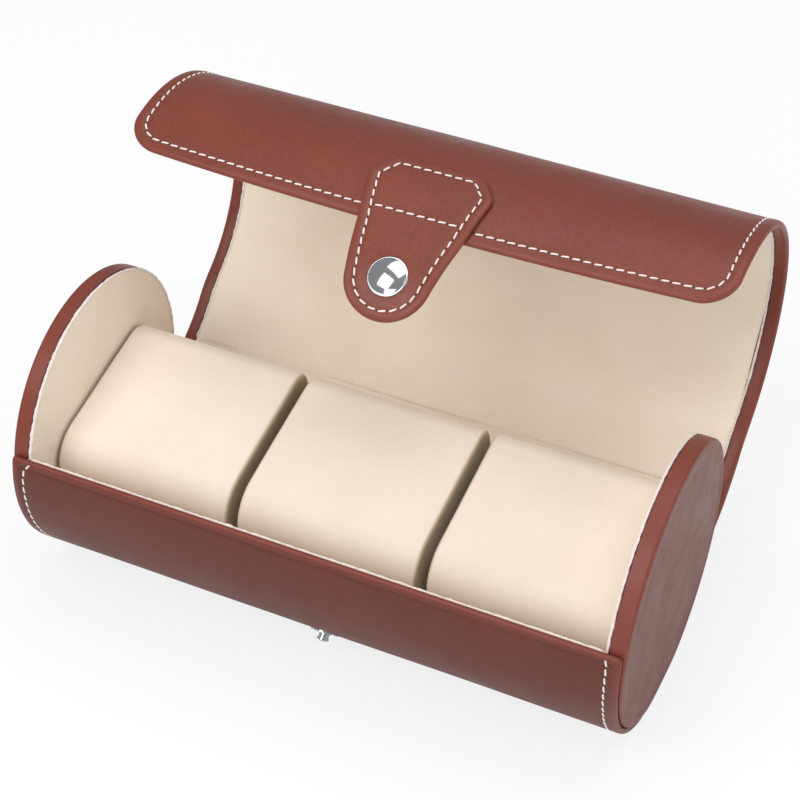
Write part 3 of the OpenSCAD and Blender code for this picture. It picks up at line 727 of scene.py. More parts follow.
def strap_sides(inset, nx=64, ns=90):
    """The outline in four: across the wide end, down both sides and round the tip. It is cut on the
    tip's round at 45 degrees and at the clipped corner, and at their mirror images."""
    loop = resampled(closed_loop(strap_edge(inset)), 2000)[:-1]
    count = len(loop)
    low = int(np.abs(np.degrees(np.arctan2(loop[:, 1], loop[:, 0])) + 45).argmin())
    high = int(np.hypot(*(loop - [STRAP_HALF, STRAP_BACK + STRAP_REACH]).T).argmin())
    cuts = [low, high, count - high, count - low, count + low]
    right, top, left, tip = [strap_sheet(loop[np.arange(a, b + 1) % count])
                             for a, b in zip(cuts, cuts[1:])]
    return (resampled(top[::-1], nx), resampled(right[::-1], ns), resampled(tip, nx),
            resampled(left, ns))


def place_strap(x, s, h):
    """A point of the strap, h above its inner face."""
    return in_space(x, strap_line.at(s, h - STRAP_T))


CROSS_ROW = snap_run - STRAP_REACH - STITCH_IN  # the row that runs across the strap
STRAP_STITCH_IN = 3.3


def strap_relief(x, s, d):
    """Gutters under the two rows of stitches, a full edge, and the waves of the skin."""
    cross = ridge(s, CROSS_ROW, 0.7) * np.clip(d - 3, 0, 1)
    return (0.03 * np.sin(x / 5 + s / 7) + 0.08 * ridge(d, 1.7, 0.8)
            - 0.2 * ridge(d, STRAP_STITCH_IN, 0.7) - 0.16 * cross)


def socket_recess(x, s, d):
    """The inner face is cut away round the socket, where the stud comes in."""
    away = np.hypot(x - STRAP_X, s - snap_run)
    return SOCKET_DEPTH * np.clip((SOCKET_R + 0.5 - away) / 0.5, 0, 1)


strap_leather = slab("strap_leather", strap_sides(STRAP_T / 2), place_strap, STRAP_T,
                     relief=strap_relief, under=socket_recess)
strap_bend = bend_over(strap_line, strap_line.run_near(on_lid(strap_fold)), STRAP_BEND)
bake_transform(strap_leather)
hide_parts("strap_root", "strap_root_backing", "strap_tongue", "strap_backing")
print("snap is %.1f mm along the strap" % snap_run)

# %% [markdown]
# ## The stitches
# White thread shows as short, slightly slanted lozenges that dive into holes. One stitch is a grid
# of points along and around it; the whole row is that grid repeated at even steps along a line,
# worked out in one array. Small dark beads between them are painted shade in the needle holes.


# %%  Stitches
STITCH_LENGTH, STITCH_PITCH, THREAD = 2.85, 3.3, 0.62
HOLE_R, HOLE_RISE = 0.33, 0.1


def row_points(line):
    """The run along a line of (x, s), and the stitches' centres by even steps along it."""
    run = distance_run(line)
    count = int(run[-1] // STITCH_PITCH)
    centre = (np.arange(count) + 0.5) * run[-1] / count
    return run, centre


def repeated(quads, count, points_each):
    """The quads of one grid, again for each of count copies with so many points."""
    return (quads[None] + (np.arange(count) * points_each)[:, None, None]).reshape(-1, 4)


def stitch_row(name, line, place, height):
    """Lozenges along the line: across one, the thread is a flat round; along it, it rises and dives."""
    run, centre = row_points(line)
    u = np.linspace(-1, 1, 9)
    v = full_turn(8)
    along = (u * STITCH_LENGTH / 2)[None, :, None]
    body = np.sqrt(np.clip(1 - np.abs(u) ** 3.2, 0.02, 1))[None, :, None]
    across = THREAD / 2 * body * np.cos(v)[None, None, :] + 0.16 * along / STITCH_LENGTH * 2
    rise = 0.1 * body + 0.26 * body * np.sin(v)[None, None, :] - 0.3 * (1 - body)
    s = centre[:, None, None] + along + 0 * v
    x = np.interp(s, run, line[:, 0])
    q = np.interp(s, run, line[:, 1])
    way_x = np.interp(s, run, np.gradient(line[:, 0], run))
    way_q = np.interp(s, run, np.gradient(line[:, 1], run))
    size = np.hypot(way_x, way_q)
    px, pq = x + across * way_q / size, q - across * way_x / size
    points = place(px.ravel(), pq.ravel(), np.broadcast_to(rise + height, px.shape).ravel())
    one = grid_faces(len(u), len(v), closed=True)
    ends = np.array([[0, 3, 2, 1], [0, 5, 4, 3], [0, 7, 6, 5]])
    far = ends[:, ::-1] + (len(u) - 1) * len(v)
    quads = repeated(np.vstack([one, ends, far]), len(centre), len(u) * len(v))
    return merged(add_mesh(name, points, quads), gap=0.001)


def hole_row(name, line, place, height):
    """Flat dark beads half a step on from the stitches: painted shade in the needle holes."""
    run, centre = row_points(line)
    at = np.r_[centre - run[-1] / len(centre) / 2, run[-1]]
    u = np.linspace(0, math.pi, 4)
    v = full_turn(7)
    a = HOLE_R * np.sin(u)[None, :, None] * np.cos(v)[None, None, :]
    b = HOLE_R * np.sin(u)[None, :, None] * np.sin(v)[None, None, :]
    x = np.interp(at, run, line[:, 0])[:, None, None] + a
    q = np.interp(at, run, line[:, 1])[:, None, None] + b
    up = np.broadcast_to(HOLE_RISE * np.cos(u)[None, :, None] + height, x.shape)
    points = place(x.ravel(), q.ravel(), up.ravel())
    quads = repeated(grid_faces(len(u), len(v), closed=True), len(at), len(u) * len(v))
    return merged(add_mesh(name, points, quads), gap=0.0005)


def spaced(line, step=0.5):
    """The line with a point at about every step of its run."""
    return resampled(line, int(distance_run(line)[-1] / step))


def free_edges(sides):
    """The right, top and left edge of an outline as one line."""
    return np.vstack([sides[1], sides[2][::-1][1:], sides[3][::-1][1:]])


ROW_START, ROW_END = 0.9, 1.5  # from the rim, and from the middle of the spine
BOW, BOW_RUN = 3.2, 1.9  # near the rim the left row turns towards the middle, the right one a little
STRAP_COVER = 18.2  # half the stretch of the lid's row that the strap hides
CROSS_HALF = 13.6
side_run = np.linspace(ROW_START, base_line.length - ROW_END, 300)
side_bow = BOW * np.exp(-(side_run - ROW_START) / BOW_RUN)
base_bodies = ("base", "spine", lower_bend)
lid_bodies = ("spine", "lid", upper_bend)
strap_bodies = ("lid", "strap", strap_bend)
rows = []
for side, end, share in ((-1, "left", 1), (1, "right", 0.25)):
    line = np.stack([side * (WRAP_HALF - STITCH_IN - share * side_bow), side_run], -1)
    rows.append(("base_" + end, spaced(line), place_base, WALL_T - 0.14, base_bodies))
lid_row = spaced(free_edges(lid_outline(STITCH_IN, STITCH_IN, ROW_END)))
under_strap = np.flatnonzero((np.abs(lid_row[:, 0] - STRAP_X) < STRAP_COVER)
                             & (lid_row[:, 1] > lid_line.length - 12))
rows.append(("lid_right", lid_row[:under_strap[0]], place_lid, LID_T - 0.17, lid_bodies))
rows.append(("lid_left", lid_row[under_strap[-1]:], place_lid, LID_T - 0.17, lid_bodies))
strap_row = spaced(strap_sheet(closed_loop(strap_edge(STRAP_STITCH_IN))))
rows.append(("strap", strap_row, place_strap, STRAP_T - 0.18, strap_bodies))
cross = np.stack([STRAP_X + np.linspace(-CROSS_HALF, CROSS_HALF, 60), np.full(60, CROSS_ROW)], -1)
rows.append(("strap_cross", spaced(cross), place_strap, STRAP_T - 0.15, strap_bodies))
stitch_pieces, hole_pieces = [], []
for name, line, place, height, (a, b, bend) in rows:
    for kind, maker, kept in (("stitches_", stitch_row, stitch_pieces),
                              ("holes_", hole_row, hole_pieces)):
        piece = maker(kind + name, line, place, height)
        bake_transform(piece)
        kept.append(piece)
print("stitch rows", [(o.name, len(o.data.polygons)) for o in stitch_pieces])

# %% [markdown]
# ## White edges of the velvet
# The cut edge of the velvet's backing shows as a thin whitish line along the base's rim, round each
# disc and inside the lid. It is a thin cord of uneven width, carried along the edge.


# %%  Cloth edges
def tube(name, path, radius, uneven=0.25, around=8, seed=3, closed=False):
    """A round of that radius carried along a path of 3-D points; its radius wavers with noise."""
    path = np.asarray(path, float)
    way = np.gradient(path, axis=0)
    if closed:
        way = np.roll(path, -1, 0) - np.roll(path, 1, 0)
    way /= np.linalg.norm(way, axis=1)[:, None]
    side = np.cross(way, [0.31, 0.2, 0.93])
    side /= np.linalg.norm(side, axis=1)[:, None]
    up = np.cross(way, side)
    noise = np.random.default_rng(seed).normal(size=len(path))
    noise = np.convolve(np.r_[noise, noise[:4]], [0.25, 0.5, 0.25], "same")[:len(path)]
    r = radius * (1 + uneven * noise)
    if not closed:
        r[0] = r[-1] = 0.02
    a = full_turn(around)
    points = (path[:, None] + r[:, None, None] * (np.cos(a)[None, :, None] * side[:, None]
                                                 + np.sin(a)[None, :, None] * up[:, None]))
    quads = grid_faces(len(path), around, closed=True)
    if closed:
        last = (len(path) - 1) * around + np.arange(around)
        first = np.arange(around)
        quads = np.vstack([quads, np.stack([last, np.roll(last, -1), np.roll(first, -1), first], -1)])
    return merged(add_mesh(name, points.reshape(-1, 3), quads), gap=0.002)


def edge_pair(name, bright_path, dark_path, bright_r=0.42, **options):
    """The whitish cloth edge, and the dark glue line between it and the leather."""
    bright = tube("velvet_edge_" + name, bright_path, bright_r, seed=5, **options)
    dark = tube("glue_line_" + name, dark_path, 0.22, uneven=0.6, seed=9, **options)
    cloth_edges.append(bright)
    glue_lines.append(dark)
    return bright, dark


cloth_edges, glue_lines = [], []
RIM_EDGE_HALF, RIM_EDGE_R, RIM_EDGE_A = 93.6, 44.45, RIM_A + 0.7
DISC_EDGES = ((43.95, 94.15), (44.3, 94.75))  # radius and place along the case: cloth, then glue
LID_EDGES = ((0.35, 0.2), (0.95, 0.32))  # out from the lining and up from its back: cloth, then glue
rim_x = np.linspace(-RIM_EDGE_HALF, RIM_EDGE_HALF, 300)
rim_edge = in_space(rim_x, (RIM_EDGE_R * unit(RIM_EDGE_A))[None].repeat(len(rim_x), 0))
piece = tube("velvet_edge_rim", rim_edge, 0.52)
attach(piece, "base")
cloth_edges.append(piece)
for side, end in ((-1, "left"), (1, "right")):
    disc_paths = []
    for r, x in DISC_EDGES:
        p = r * unit(np.linspace(0, 360, 420, endpoint=False))
        p[:, 1] = np.maximum(p[:, 1], -DISC_FLAT + 0.2)
        disc_paths.append(in_space(np.full(len(p), side * x), p))
    for piece in edge_pair("disc_" + end, *disc_paths, bright_r=0.56, closed=True):
        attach(piece, "base")
lid_paths = []
for grow, up in LID_EDGES:
    loop = spaced(free_edges(lining_outline(grow=grow)), 0.7)
    lid_paths.append(in_space(loop[:, 0], lid_velvet_line.at(loop[:, 1], up)))
for piece in edge_pair("lid", *lid_paths):
    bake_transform(piece)
print("cloth edges", [o.name for o in cloth_edges])

# %% [markdown]
# ## The pillows
# Each pillow is a foam block in velvet. Its section is a rounded box that tips forward, and its two
# ends are drawn in where the cover is sewn. The section's formula is the CAD's, with the faces
# swollen more in the middle and a slow unevenness added, so that the light breaks on it as on cloth.

# %%  Pillows
PILLOW_DEPTH, PILLOW_FRONT, PILLOW_TOP, PILLOW_TILT = 59.5, 1.75, 13.15, 11.1
BACK_R, FRONT_R, FOOT_R = 8.0, 12.3, 16.0  # the section's rounds: top back, top front, both below
PILLOW_GAP, PILLOW_END_GAP = 3.2, 0.8  # between two pillows, and from the outer ones to the discs
PILLOW_W = 2 * (PILE_FACE - PILLOW_END_GAP - PILLOW_GAP) / 3
PILLOW_LOW = AXIS_Z - (BASE_R - LINING_IN) - 0.3
END_R, END_SINK = 1.7, 0.5  # the ends' round, and how deep the end faces are sunk
CROWN, CROWN_POWER = 0.95, 0.7  # how far the faces swell, and how fast that ends near the ends
half_depth = PILLOW_DEPTH / 2
# The foot's round stands on the lining: its centre's height, turned back by the tilt
tilt_sin, tilt_cos = math.sin(math.radians(PILLOW_TILT)), math.cos(math.radians(PILLOW_TILT))
foot_back = half_depth + PILLOW_FRONT - FOOT_R
PILLOW_BOTTOM = (PILLOW_LOW - FOOT_R - foot_back * tilt_sin) / tilt_cos + FOOT_R


def pillow_section(inset, crown, corner_n=14, face_n=16):
    """Four rounds joined by faces that swell: each point is a round's or on the line between two,
    raised by the crown times the sine of its share of the face."""
    f, b = -PILLOW_FRONT - half_depth, -PILLOW_FRONT + half_depth
    rounds = [((b - BACK_R, PILLOW_TOP - BACK_R), BACK_R, 0),
              ((f + FRONT_R, PILLOW_TOP - FRONT_R), FRONT_R, 90),
              ((f + FOOT_R, -PILLOW_BOTTOM + FOOT_R), FOOT_R, 180),
              ((b - FOOT_R, -PILLOW_BOTTOM + FOOT_R), FOOT_R, 270)]
    parts = []
    for k in range(4):
        (c, r, a), (c2, r2, a2) = rounds[k], rounds[(k + 1) % 4]
        r, r2 = max(r - inset, 0.3), max(r2 - inset, 0.3)
        turn = a + 90 * np.linspace(0, 1, corner_n)
        parts.append(np.array(c) + r * unit(turn))
        p0, p1 = np.array(c) + r * unit(a + 90), np.array(c2) + r2 * unit(a2)
        t = np.linspace(0, 1, face_n + 1)[1:-1, None]
        lift = 0 if k == 2 else crown
        parts.append(p0 + (p1 - p0) * t + lift * np.sin(np.pi * t) * unit(a + 90))
    return np.vstack(parts)


def pillow(name, slot, seed):
    """Rings along the case; near each end they draw in on a round, and the end face is sunk. Seven
    waves, shorter and lower one after the other, move every ring's points in and out a little."""
    t = np.linspace(0, 90, 10)
    near = PILLOW_W / 2 - END_R * (1 - np.sin(np.radians(t)))
    inset = END_R * (1 - np.cos(np.radians(t)))
    middle = np.linspace(-near[0], near[0], 34)[1:-1]
    x = np.r_[-near[::-1], middle, near]
    rings_in = np.r_[inset[::-1], 0 * middle, inset]
    crown = CROWN * np.cos(np.pi / 2 * np.clip(np.abs(x) / (PILLOW_W / 2), 0, 1)) ** CROWN_POWER
    rings = [pillow_section(i, c) for i, c in zip(rings_in, crown)]
    mid = np.array([-PILLOW_FRONT, (PILLOW_TOP - PILLOW_BOTTOM) / 2])
    caps = [mid + (rings[0] - mid) * share for share in (0.55, 0.25, 0.0)]
    sunk = PILLOW_W / 2 - END_SINK
    x = np.r_[-sunk + 0.1, -sunk, -sunk, x, sunk, sunk, sunk - 0.1]
    stack = np.stack(caps[::-1] + rings + caps)
    rng = np.random.default_rng(seed)
    wave = np.zeros(stack.shape[:2])
    count = stack.shape[1]
    u = full_turn(count)[None, :]
    for k in range(7):
        wave += (0.11 / (1 + k * 0.4) * np.sin(x[:, None] / (14 - 1.2 * k) + rng.uniform(0, 6.28))
                 * np.sin((1 + k) * u + rng.uniform(0, 6.28)))
    centre = stack.mean(1, keepdims=True)
    away = (stack - centre) / np.linalg.norm(stack - centre, axis=2, keepdims=True)
    stack = stack + away * (wave - 0.12)[:, :, None]
    section = turned(stack, np.zeros(2), PILLOW_TILT)
    xs = slot * (PILLOW_W + PILLOW_GAP) + np.broadcast_to(x[:, None], wave.shape)
    points = in_space(xs, section).reshape(-1, 3)
    # Distance in from each end, which places the painted shade on the end faces, in the gaps between
    # pillows.
    painted_end_shade_distance = np.clip(PILLOW_W / 2 - np.abs(x), 0, None)
    piece = merged(add_mesh(name, points, grid_faces(len(x), count, closed=True)[:, ::-1],
                            edge=np.repeat(painted_end_shade_distance, count)), gap=0.05)
    subdivide = piece.modifiers.new("Smooth", "SUBSURF")
    subdivide.levels = subdivide.render_levels = 1
    return piece


pillows = []
for slot, end in ((-1, "left"), (0, "middle"), (1, "right")):
    piece = pillow("velvet_pillow_" + end, slot, 11 + slot)
    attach(piece, "pillow_" + end)
    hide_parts("pillow_" + end)
    pillows.append(piece)
print("pillows %.1f mm wide" % PILLOW_W)

# %% [markdown]
# ## The snap's cap
# A pressed metal dome with a curled rim. It is a profile turned round the snap's axis, which stands
# square on the strap. The stud, the socket and its spring are fine as the CAD has them, and only
# get their finish.

# %%  Cap
snap_out = strap_line.at(snap_run, 1.0) - strap_line.at(snap_run, 0.0)
snap_way = np.array([-snap_out[1], snap_out[0]])


def cap_profile():
    """Radius and height: a flat back, the curled rim as a small round, a step, and the dome."""
    a = np.radians(np.linspace(-80, 110, 14))
    rim = np.stack([5.86 + 0.39 * np.cos(a), 0.12 + 0.36 * np.sin(a)], -1)
    r = np.linspace(5.6, 0, 40)
    dome = np.stack([r, 0.5 + 1.55 * (1 - (r / 5.75) ** 2) ** 0.82], -1)
    return np.vstack([[[0.0, -0.25], [5.7, -0.25]], rim, dome])


def snap_piece(name, profile, around=96):
    """Turns the profile round the snap's axis, where it is on the open case."""
    a = full_turn(around)
    x = STRAP_X + profile[:, :1] * np.cos(a)
    t = profile[:, :1] * np.sin(a)
    p = snap_seat + t[..., None] * snap_way + (profile[:, 1:2] + 0 * t)[..., None] * snap_out
    points = in_space(x, p).reshape(-1, 3)
    return merged(add_mesh(name, points, grid_faces(len(profile), around, closed=True)))


cap = snap_piece("cap_chrome", cap_profile())
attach(cap, "strap")
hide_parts("snap_cap")
print("cap sits at", in_space(STRAP_X, snap_seat).round(1))

# %% [markdown]
# ## Finishes
# Every finish is made of shader nodes on Object coordinates, so the grain has its real size: the
# leather's pebbles are about 0.7 mm, the velvet's pile under 0.4 mm. A number that is the same all
# over is set on the shader itself.


# %%  Material helpers
def new_material(name, **values):
    """An empty node material with a Principled shader, and those values set on its sockets."""
    material = bpy.data.materials.new(name)
    material.use_nodes = True
    tree = material.node_tree
    shader = tree.nodes["Principled BSDF"]
    for key, value in values.items():
        shader.inputs[key.replace("_", " ")].default_value = value
    return material, tree, shader


def node(tree, kind, inputs=None, **settings):
    """A node with its settings, and its inputs set to values or linked to sockets."""
    made = tree.nodes.new(kind)
    for key, value in settings.items():
        setattr(made, key, value)
    for key, value in (inputs or {}).items():
        if isinstance(value, bpy.types.NodeSocket):
            tree.links.new(value, made.inputs[key])
        else:
            made.inputs[key].default_value = value
    return made


def object_coordinates(tree):
    """Where a point is on its piece, in metres."""
    return node(tree, "ShaderNodeTexCoord").outputs["Object"]


def from_edge(tree):
    """The distance from an edge that a mesh carries for each of its points, in mm, which places painted
    highlight and painted shade.
    """
    return node(tree, "ShaderNodeAttribute", attribute_name="painted_light_edge_distance").outputs["Fac"]


def noise(tree, scale, detail=3.0, rough=0.5, where=None):
    """Noise with so many features in a metre."""
    where = where or object_coordinates(tree)
    return node(tree, "ShaderNodeTexNoise", {"Vector": where, "Scale": scale, "Detail": detail,
                                             "Roughness": rough}).outputs["Fac"]


def ranged(tree, value, low, high, to_low, to_high):
    """Maps a value from one range to another, held at its ends."""
    return node(tree, "ShaderNodeMapRange", {"Value": value, "From Min": low, "From Max": high,
                                             "To Min": to_low, "To Max": to_high}).outputs["Result"]


def mixed(tree, share, first, second):
    """A colour between two, by a share."""
    mix = node(tree, "ShaderNodeMix", data_type="RGBA")
    tree.links.new(share, mix.inputs["Factor"])
    for socket, value in ((mix.inputs[6], first), (mix.inputs[7], second)):
        if isinstance(value, bpy.types.NodeSocket):
            tree.links.new(value, socket)
        else:
            socket.default_value = (*value, 1)
    return mix.outputs[2]


def bumped(tree, shader, height, strength, distance, before=None):
    """Adds a bump, its distance in metres, to the shader, on top of another bump."""
    inputs = {"Height": height, "Strength": strength, "Distance": distance}
    if before is not None:
        inputs["Normal"] = before
    bump = node(tree, "ShaderNodeBump", inputs).outputs["Normal"]
    tree.links.new(bump, shader.inputs["Normal"])
    return bump


# %% [markdown]
# ## Leather
# Smooth imitation leather: an even red-brown with slow clouds, a fine pebble, a soft gloss from a
# thin clear coat, and a redder tone on the rolled edges that is a painted highlight. The edge is
# found from an attribute that the slabs carry: the distance from the rim. The base's leather has
# painted shade at the front, and the discs' leather is a darker copy: painted shade.


# %%  Leather
def leather_material(name, tone, edge_highlight, unshaded_back_tone=None):
    """Leather in that tone with a painted highlight on its rolled edges; with a second tone, the first
    is painted shade at the front of the case that goes over into the second towards the back.
    """
    material, tree, shader = new_material(name, Roughness=0.42, Coat_Weight=0.06,
                                          Coat_Roughness=0.25, Specular_IOR_Level=0.26)
    where = object_coordinates(tree)
    base_tone = tuple(tone)
    if unshaded_back_tone is not None:
        # Painted shade: darker at the front of the case, going over to the second tone towards the
        # back.
        back = node(tree, "ShaderNodeSeparateXYZ", {0: where}).outputs["Y"]
        base_tone = mixed(tree, ranged(tree, back, -0.02, 0.04, 0, 1), tuple(tone), tuple(unshaded_back_tone))
    clouds = noise(tree, 28, 4, 0.6, where)
    shaded = mixed(tree, ranged(tree, clouds, 0.3, 0.7, 0.2, 0), base_tone, (0.03, 0.008, 0.006))
    specks = ranged(tree, noise(tree, 900, 2, 0.5, where), 0.4, 0.7, 0, 0.2)
    colour = mixed(tree, specks, shaded, (0.05, 0.012, 0.01))
    # Painted highlight: a redder tone on the rolled edges, strongest at the rim and gone 2.6 mm in.
    colour = mixed(tree, ranged(tree, from_edge(tree), 0.4, 2.6, 0.6, 0.0), colour, edge_highlight)
    tree.links.new(colour, shader.inputs["Base Color"])
    tree.links.new(ranged(tree, noise(tree, 60, 3, 0.6, where), 0.3, 0.7, 0.36, 0.5),
                   shader.inputs["Roughness"])
    pebble = node(tree, "ShaderNodeTexVoronoi", {"Vector": where, "Scale": 1500.0},
                  feature="SMOOTH_F1").outputs["Distance"]
    first = bumped(tree, shader, pebble, 0.16, 0.00012)
    bumped(tree, shader, noise(tree, 260, 4, 0.6, where), 0.12, 0.00025, first)
    return material


TONE = np.array((0.214, 0.051, 0.033))
# The redder tone of the rolled edges is a painted highlight.
PAINTED_EDGE_HIGHLIGHT = (0.215, 0.046, 0.03)
lid_skin = leather_material("smooth_red_brown_leather", TONE, PAINTED_EDGE_HIGHLIGHT)
# The base's leather is the lid's leather with painted shade at the front.
base_skin_painted_front_shade = leather_material("red_brown_leather_painted_front_shade", 0.58 * TONE, PAINTED_EDGE_HIGHLIGHT, unshaded_back_tone=TONE)
# The discs' leather is the same leather made darker: painted shade.
disc_skin_painted_shade = leather_material("disc_red_brown_leather_painted_shade", 0.85 * TONE, PAINTED_EDGE_HIGHLIGHT)

# %% [markdown]
# ## Velvet
# Short pile scatters light at grazing angles, which the shader's sheen gives. Its nap lies in soft
# patches, lighter and darker, and a fine noise makes the pile itself. A pillow's end faces carry
# painted shade for the narrow gaps between pillows, and the linings' velvet is paler than the
# pillows' as painted fill light.


# %%  Velvet
def velvet_material(name, tone, shade, end_painted_shade=None):
    """Velvet between two tones; a pillow's end faces, found by the attribute, get painted shade, the
    shadow in the gaps between pillows.
    """
    material, tree, shader = new_material(name, Roughness=0.95, Sheen_Weight=0.35,
                                          Sheen_Roughness=0.45, Specular_IOR_Level=0.15)
    where = object_coordinates(tree)
    patches = noise(tree, 45, 4, 0.62, where)
    pile = noise(tree, 2600, 2, 0.6, where)
    colour = mixed(tree, ranged(tree, patches, 0.32, 0.68, 0, 1), shade, tone)
    colour = mixed(tree, ranged(tree, pile, 0.35, 0.65, 0.16, 0), colour,
                   tuple(0.78 * c for c in shade))
    # Painted shade: a dark olive tone on a pillow's end faces, where the gaps between pillows are in
    # shadow.
    if end_painted_shade is not None:
        colour = mixed(tree, ranged(tree, from_edge(tree), 0.15, 1.0, 1.0, 0.0), colour, end_painted_shade)
    tree.links.new(colour, shader.inputs["Base Color"])
    first = bumped(tree, shader, pile, 0.35, 0.00022)
    bumped(tree, shader, noise(tree, 320, 3, 0.6, where), 0.12, 0.0004, first)
    return material


# The pillows' velvet, with painted shade on the end faces.
velvet = velvet_material("cream_velvet", (0.82, 0.715, 0.615), (0.785, 0.675, 0.57),
                         end_painted_shade=(0.46, 0.35, 0.215))
# The linings' velvet is paler than the pillows': painted fill light on the shaded inside of the case.
velvet_lining_painted_fill_light = velvet_material("cream_velvet_lining_painted_fill_light", (0.9, 0.8, 0.68), (0.86, 0.75, 0.62))

# %% [markdown]
# ## Thread, cloth edge, metal and board
# Each small finish still has its own grain: the twist of the thread, the fluff of the cut cloth,
# fine polishing marks on the chrome, and fibres in the board.


# %%  Small finishes
def grained_material(name, tone, dark, scale, bump, **values):
    """Two tones mixed by noise, with the same noise as its bump."""
    material, tree, shader = new_material(name, **values)
    where = object_coordinates(tree)
    grain = noise(tree, scale, 3, 0.6, where)
    colour = mixed(tree, ranged(tree, grain, 0.3, 0.7, 0, 1), dark, tone)
    tree.links.new(colour, shader.inputs["Base Color"])
    bumped(tree, shader, grain, 0.4, bump)
    return material


thread = grained_material("white_thread", (0.86, 0.83, 0.8), (0.7, 0.64, 0.6), 3500, 0.00008,
                          Roughness=0.7, Sheen_Weight=0.2)
# Painted shade in the needle holes.
needle_hole = grained_material("needle_hole_shadow", (0.075, 0.02, 0.018), (0.03, 0.01, 0.01),
                               2000, 0.00005, Roughness=0.85)
glue = grained_material("dark_glue_line", (0.09, 0.02, 0.045), (0.045, 0.012, 0.03), 1500,
                        0.0001, Roughness=0.7)
cloth_edge = grained_material("cut_cloth_edge", (0.86, 0.8, 0.74), (0.66, 0.54, 0.5), 1800,
                              0.0002, Roughness=0.95, Sheen_Weight=0.3)
chrome = grained_material("polished_chrome", (0.66, 0.67, 0.69), (0.58, 0.59, 0.61), 90, 0.000004,
                          Metallic=1.0, Roughness=0.1)
brass = grained_material("plain_brass", (0.72, 0.55, 0.28), (0.62, 0.45, 0.22), 300, 0.00002,
                         Metallic=1.0, Roughness=0.3)
board = grained_material("grey_board", (0.46, 0.42, 0.37), (0.34, 0.31, 0.27), 1200, 0.0001,
                         Roughness=0.9)
foam_block = grained_material("foam_and_card", (0.66, 0.56, 0.42), (0.56, 0.46, 0.34), 900, 0.0002,
                              Roughness=0.95)


def dressed(pieces, material):
    """Gives each of the pieces that material and no other."""
    for piece in pieces:
        piece.data.materials.clear()
        piece.data.materials.append(material)


nodes = frame["nodes"]
disc_pieces = [o for o in bpy.data.objects if o.name.startswith("disc_leather")]
disc_linings = [o for o in bpy.data.objects if o.name.startswith("disc_velvet")]
dressed([lid_leather, strap_leather], lid_skin)
dressed([base_leather], base_skin_painted_front_shade)
dressed(disc_pieces, disc_skin_painted_shade)
dressed([base_velvet, lid_velvet] + disc_linings, velvet_lining_painted_fill_light)
dressed(pillows, velvet)
dressed(stitch_pieces, thread)
dressed(hole_pieces, needle_hole)
dressed(cloth_edges, cloth_edge)
dressed(glue_lines, glue)
dressed([cap, nodes["snap_stud"], nodes["snap_socket"]], chrome)
dressed([nodes["stud_rivet"], nodes["socket_spring"]], brass)
dressed([nodes[n] for n in ("base_shell", "end_board_left", "end_board_right")], board)
dressed([nodes["pillow_core_" + n] for n in ("left", "middle", "right")], foam_block)
print("materials", len(bpy.data.materials))

# %% [markdown]
# ## Floor, light and camera
# The case stands on a plain white floor. Four square lamps light it, and an even world fills the
# shadows. Only the camera sees the world plain white, and most of the floor too: a fifth of it stays
# paint that takes the case's shadow. The camera's place and lens were fitted to the photograph.


# %%  Stage
def only_for_camera(tree, usual, white):
    """One shader for light and mirrors, and another for what the camera sees by itself."""
    rays = node(tree, "ShaderNodeLightPath").outputs["Is Camera Ray"]
    return node(tree, "ShaderNodeMixShader", {0: rays, 1: usual, 2: white}).outputs[0]


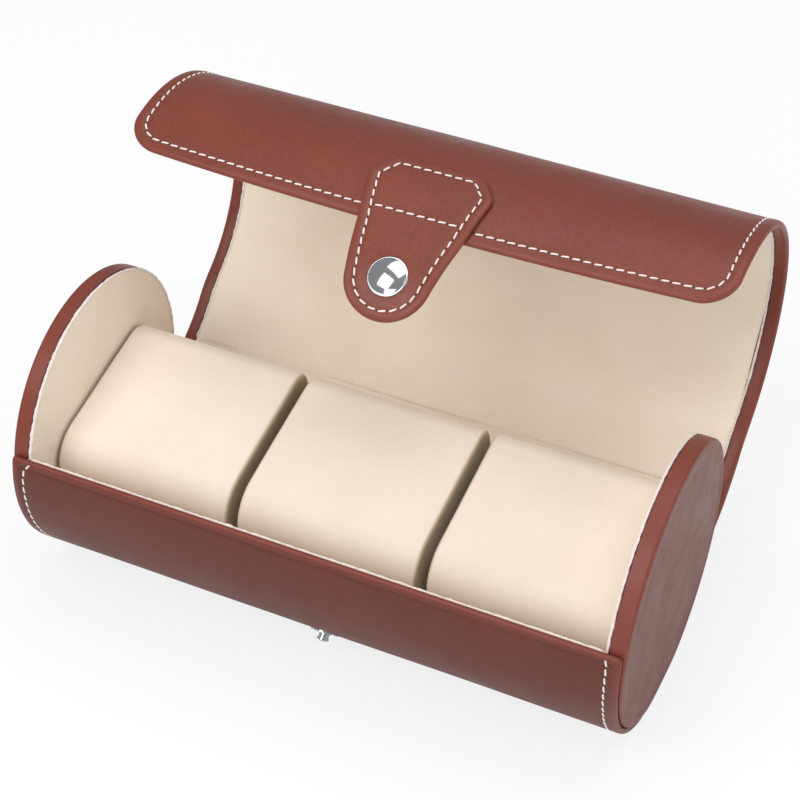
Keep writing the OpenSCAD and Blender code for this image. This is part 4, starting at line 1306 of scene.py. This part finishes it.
WHITE = (1, 1, 1, 1)
FLOOR_HALF, FLOOR_GLOW = 3, 0.8
ROOM_LIGHT = 0.35
corners = [(x * FLOOR_HALF, y * FLOOR_HALF, 0) for x, y in ((-1, -1), (1, -1), (1, 1), (-1, 1))]
floor_mesh = bpy.data.meshes.new("floor")
floor_mesh.from_pydata(corners, [], [(0, 1, 2, 3)])
floor = added("floor", floor_mesh)
floor_material, tree, paint = new_material("white_floor", Base_Color=(0.9, 0.9, 0.9, 1), Roughness=0.9)
glow = node(tree, "ShaderNodeEmission", {"Color": WHITE, "Strength": 1.0}).outputs[0]
seen = only_for_camera(tree, paint.outputs[0], glow)
half = node(tree, "ShaderNodeMixShader", {0: FLOOR_GLOW, 1: paint.outputs[0], 2: seen}).outputs[0]
tree.links.new(half, tree.nodes["Material Output"].inputs["Surface"])
floor.data.materials.append(floor_material)

world = bpy.data.worlds.new("soft_room")
bpy.context.scene.world = world
world.use_nodes = True
tree = world.node_tree
room = tree.nodes["Background"]
room.inputs["Color"].default_value = WHITE
room.inputs["Strength"].default_value = ROOM_LIGHT
plain = node(tree, "ShaderNodeBackground", {"Color": WHITE, "Strength": 1.0}).outputs[0]
surround = only_for_camera(tree, room.outputs[0], plain)
tree.links.new(surround, tree.nodes["World Output"].inputs["Surface"])


def aimed(made, place, aim):
    """Puts a lamp or the camera in its place and turns it to face a point, both in metres."""
    way = np.array(aim, float) - place
    made.location = place
    made.rotation_euler = (math.atan2(math.hypot(way[0], way[1]), -way[2]), 0,
                           math.atan2(-way[0], way[1]))
    return float(np.linalg.norm(way))


def lamp(name, place, aim, size, power):
    """A square area lamp of that size in metres and that power in watts."""
    data = bpy.data.lights.new(name, "AREA")
    data.shape, data.size, data.energy = "SQUARE", size, power
    aimed(added(name, data), place, aim)


lamp("key", (-0.3, -0.7, 1.0), (0, 0, 0.05), 0.7, 7.0)
lamp("top", (0.15, 0.3, 1.3), (0, 0, 0.05), 1.1, 7.8)
lamp("front", (0.2, -1.2, 0.45), (0, 0, 0.08), 0.8, 4.2)
lamp("side", (1.2, 0.1, 0.5), (0, 0, 0.05), 0.6, 2.6)

bpy.context.scene.view_settings.view_transform = "Standard"
camera_data = bpy.data.cameras.new("photo_camera")
camera_data.lens, camera_data.sensor_width = 95.85, 36.0
camera = added("photo_camera", camera_data)
distance = aimed(camera, np.array([0.20834, -0.42847, 0.4561 + AXIS_Z * MM]),
                 np.array([-0.0103, 0.0459, -0.0054 + AXIS_Z * MM]))
bpy.context.scene.camera = camera
print("camera %.3f m from the case" % distance)
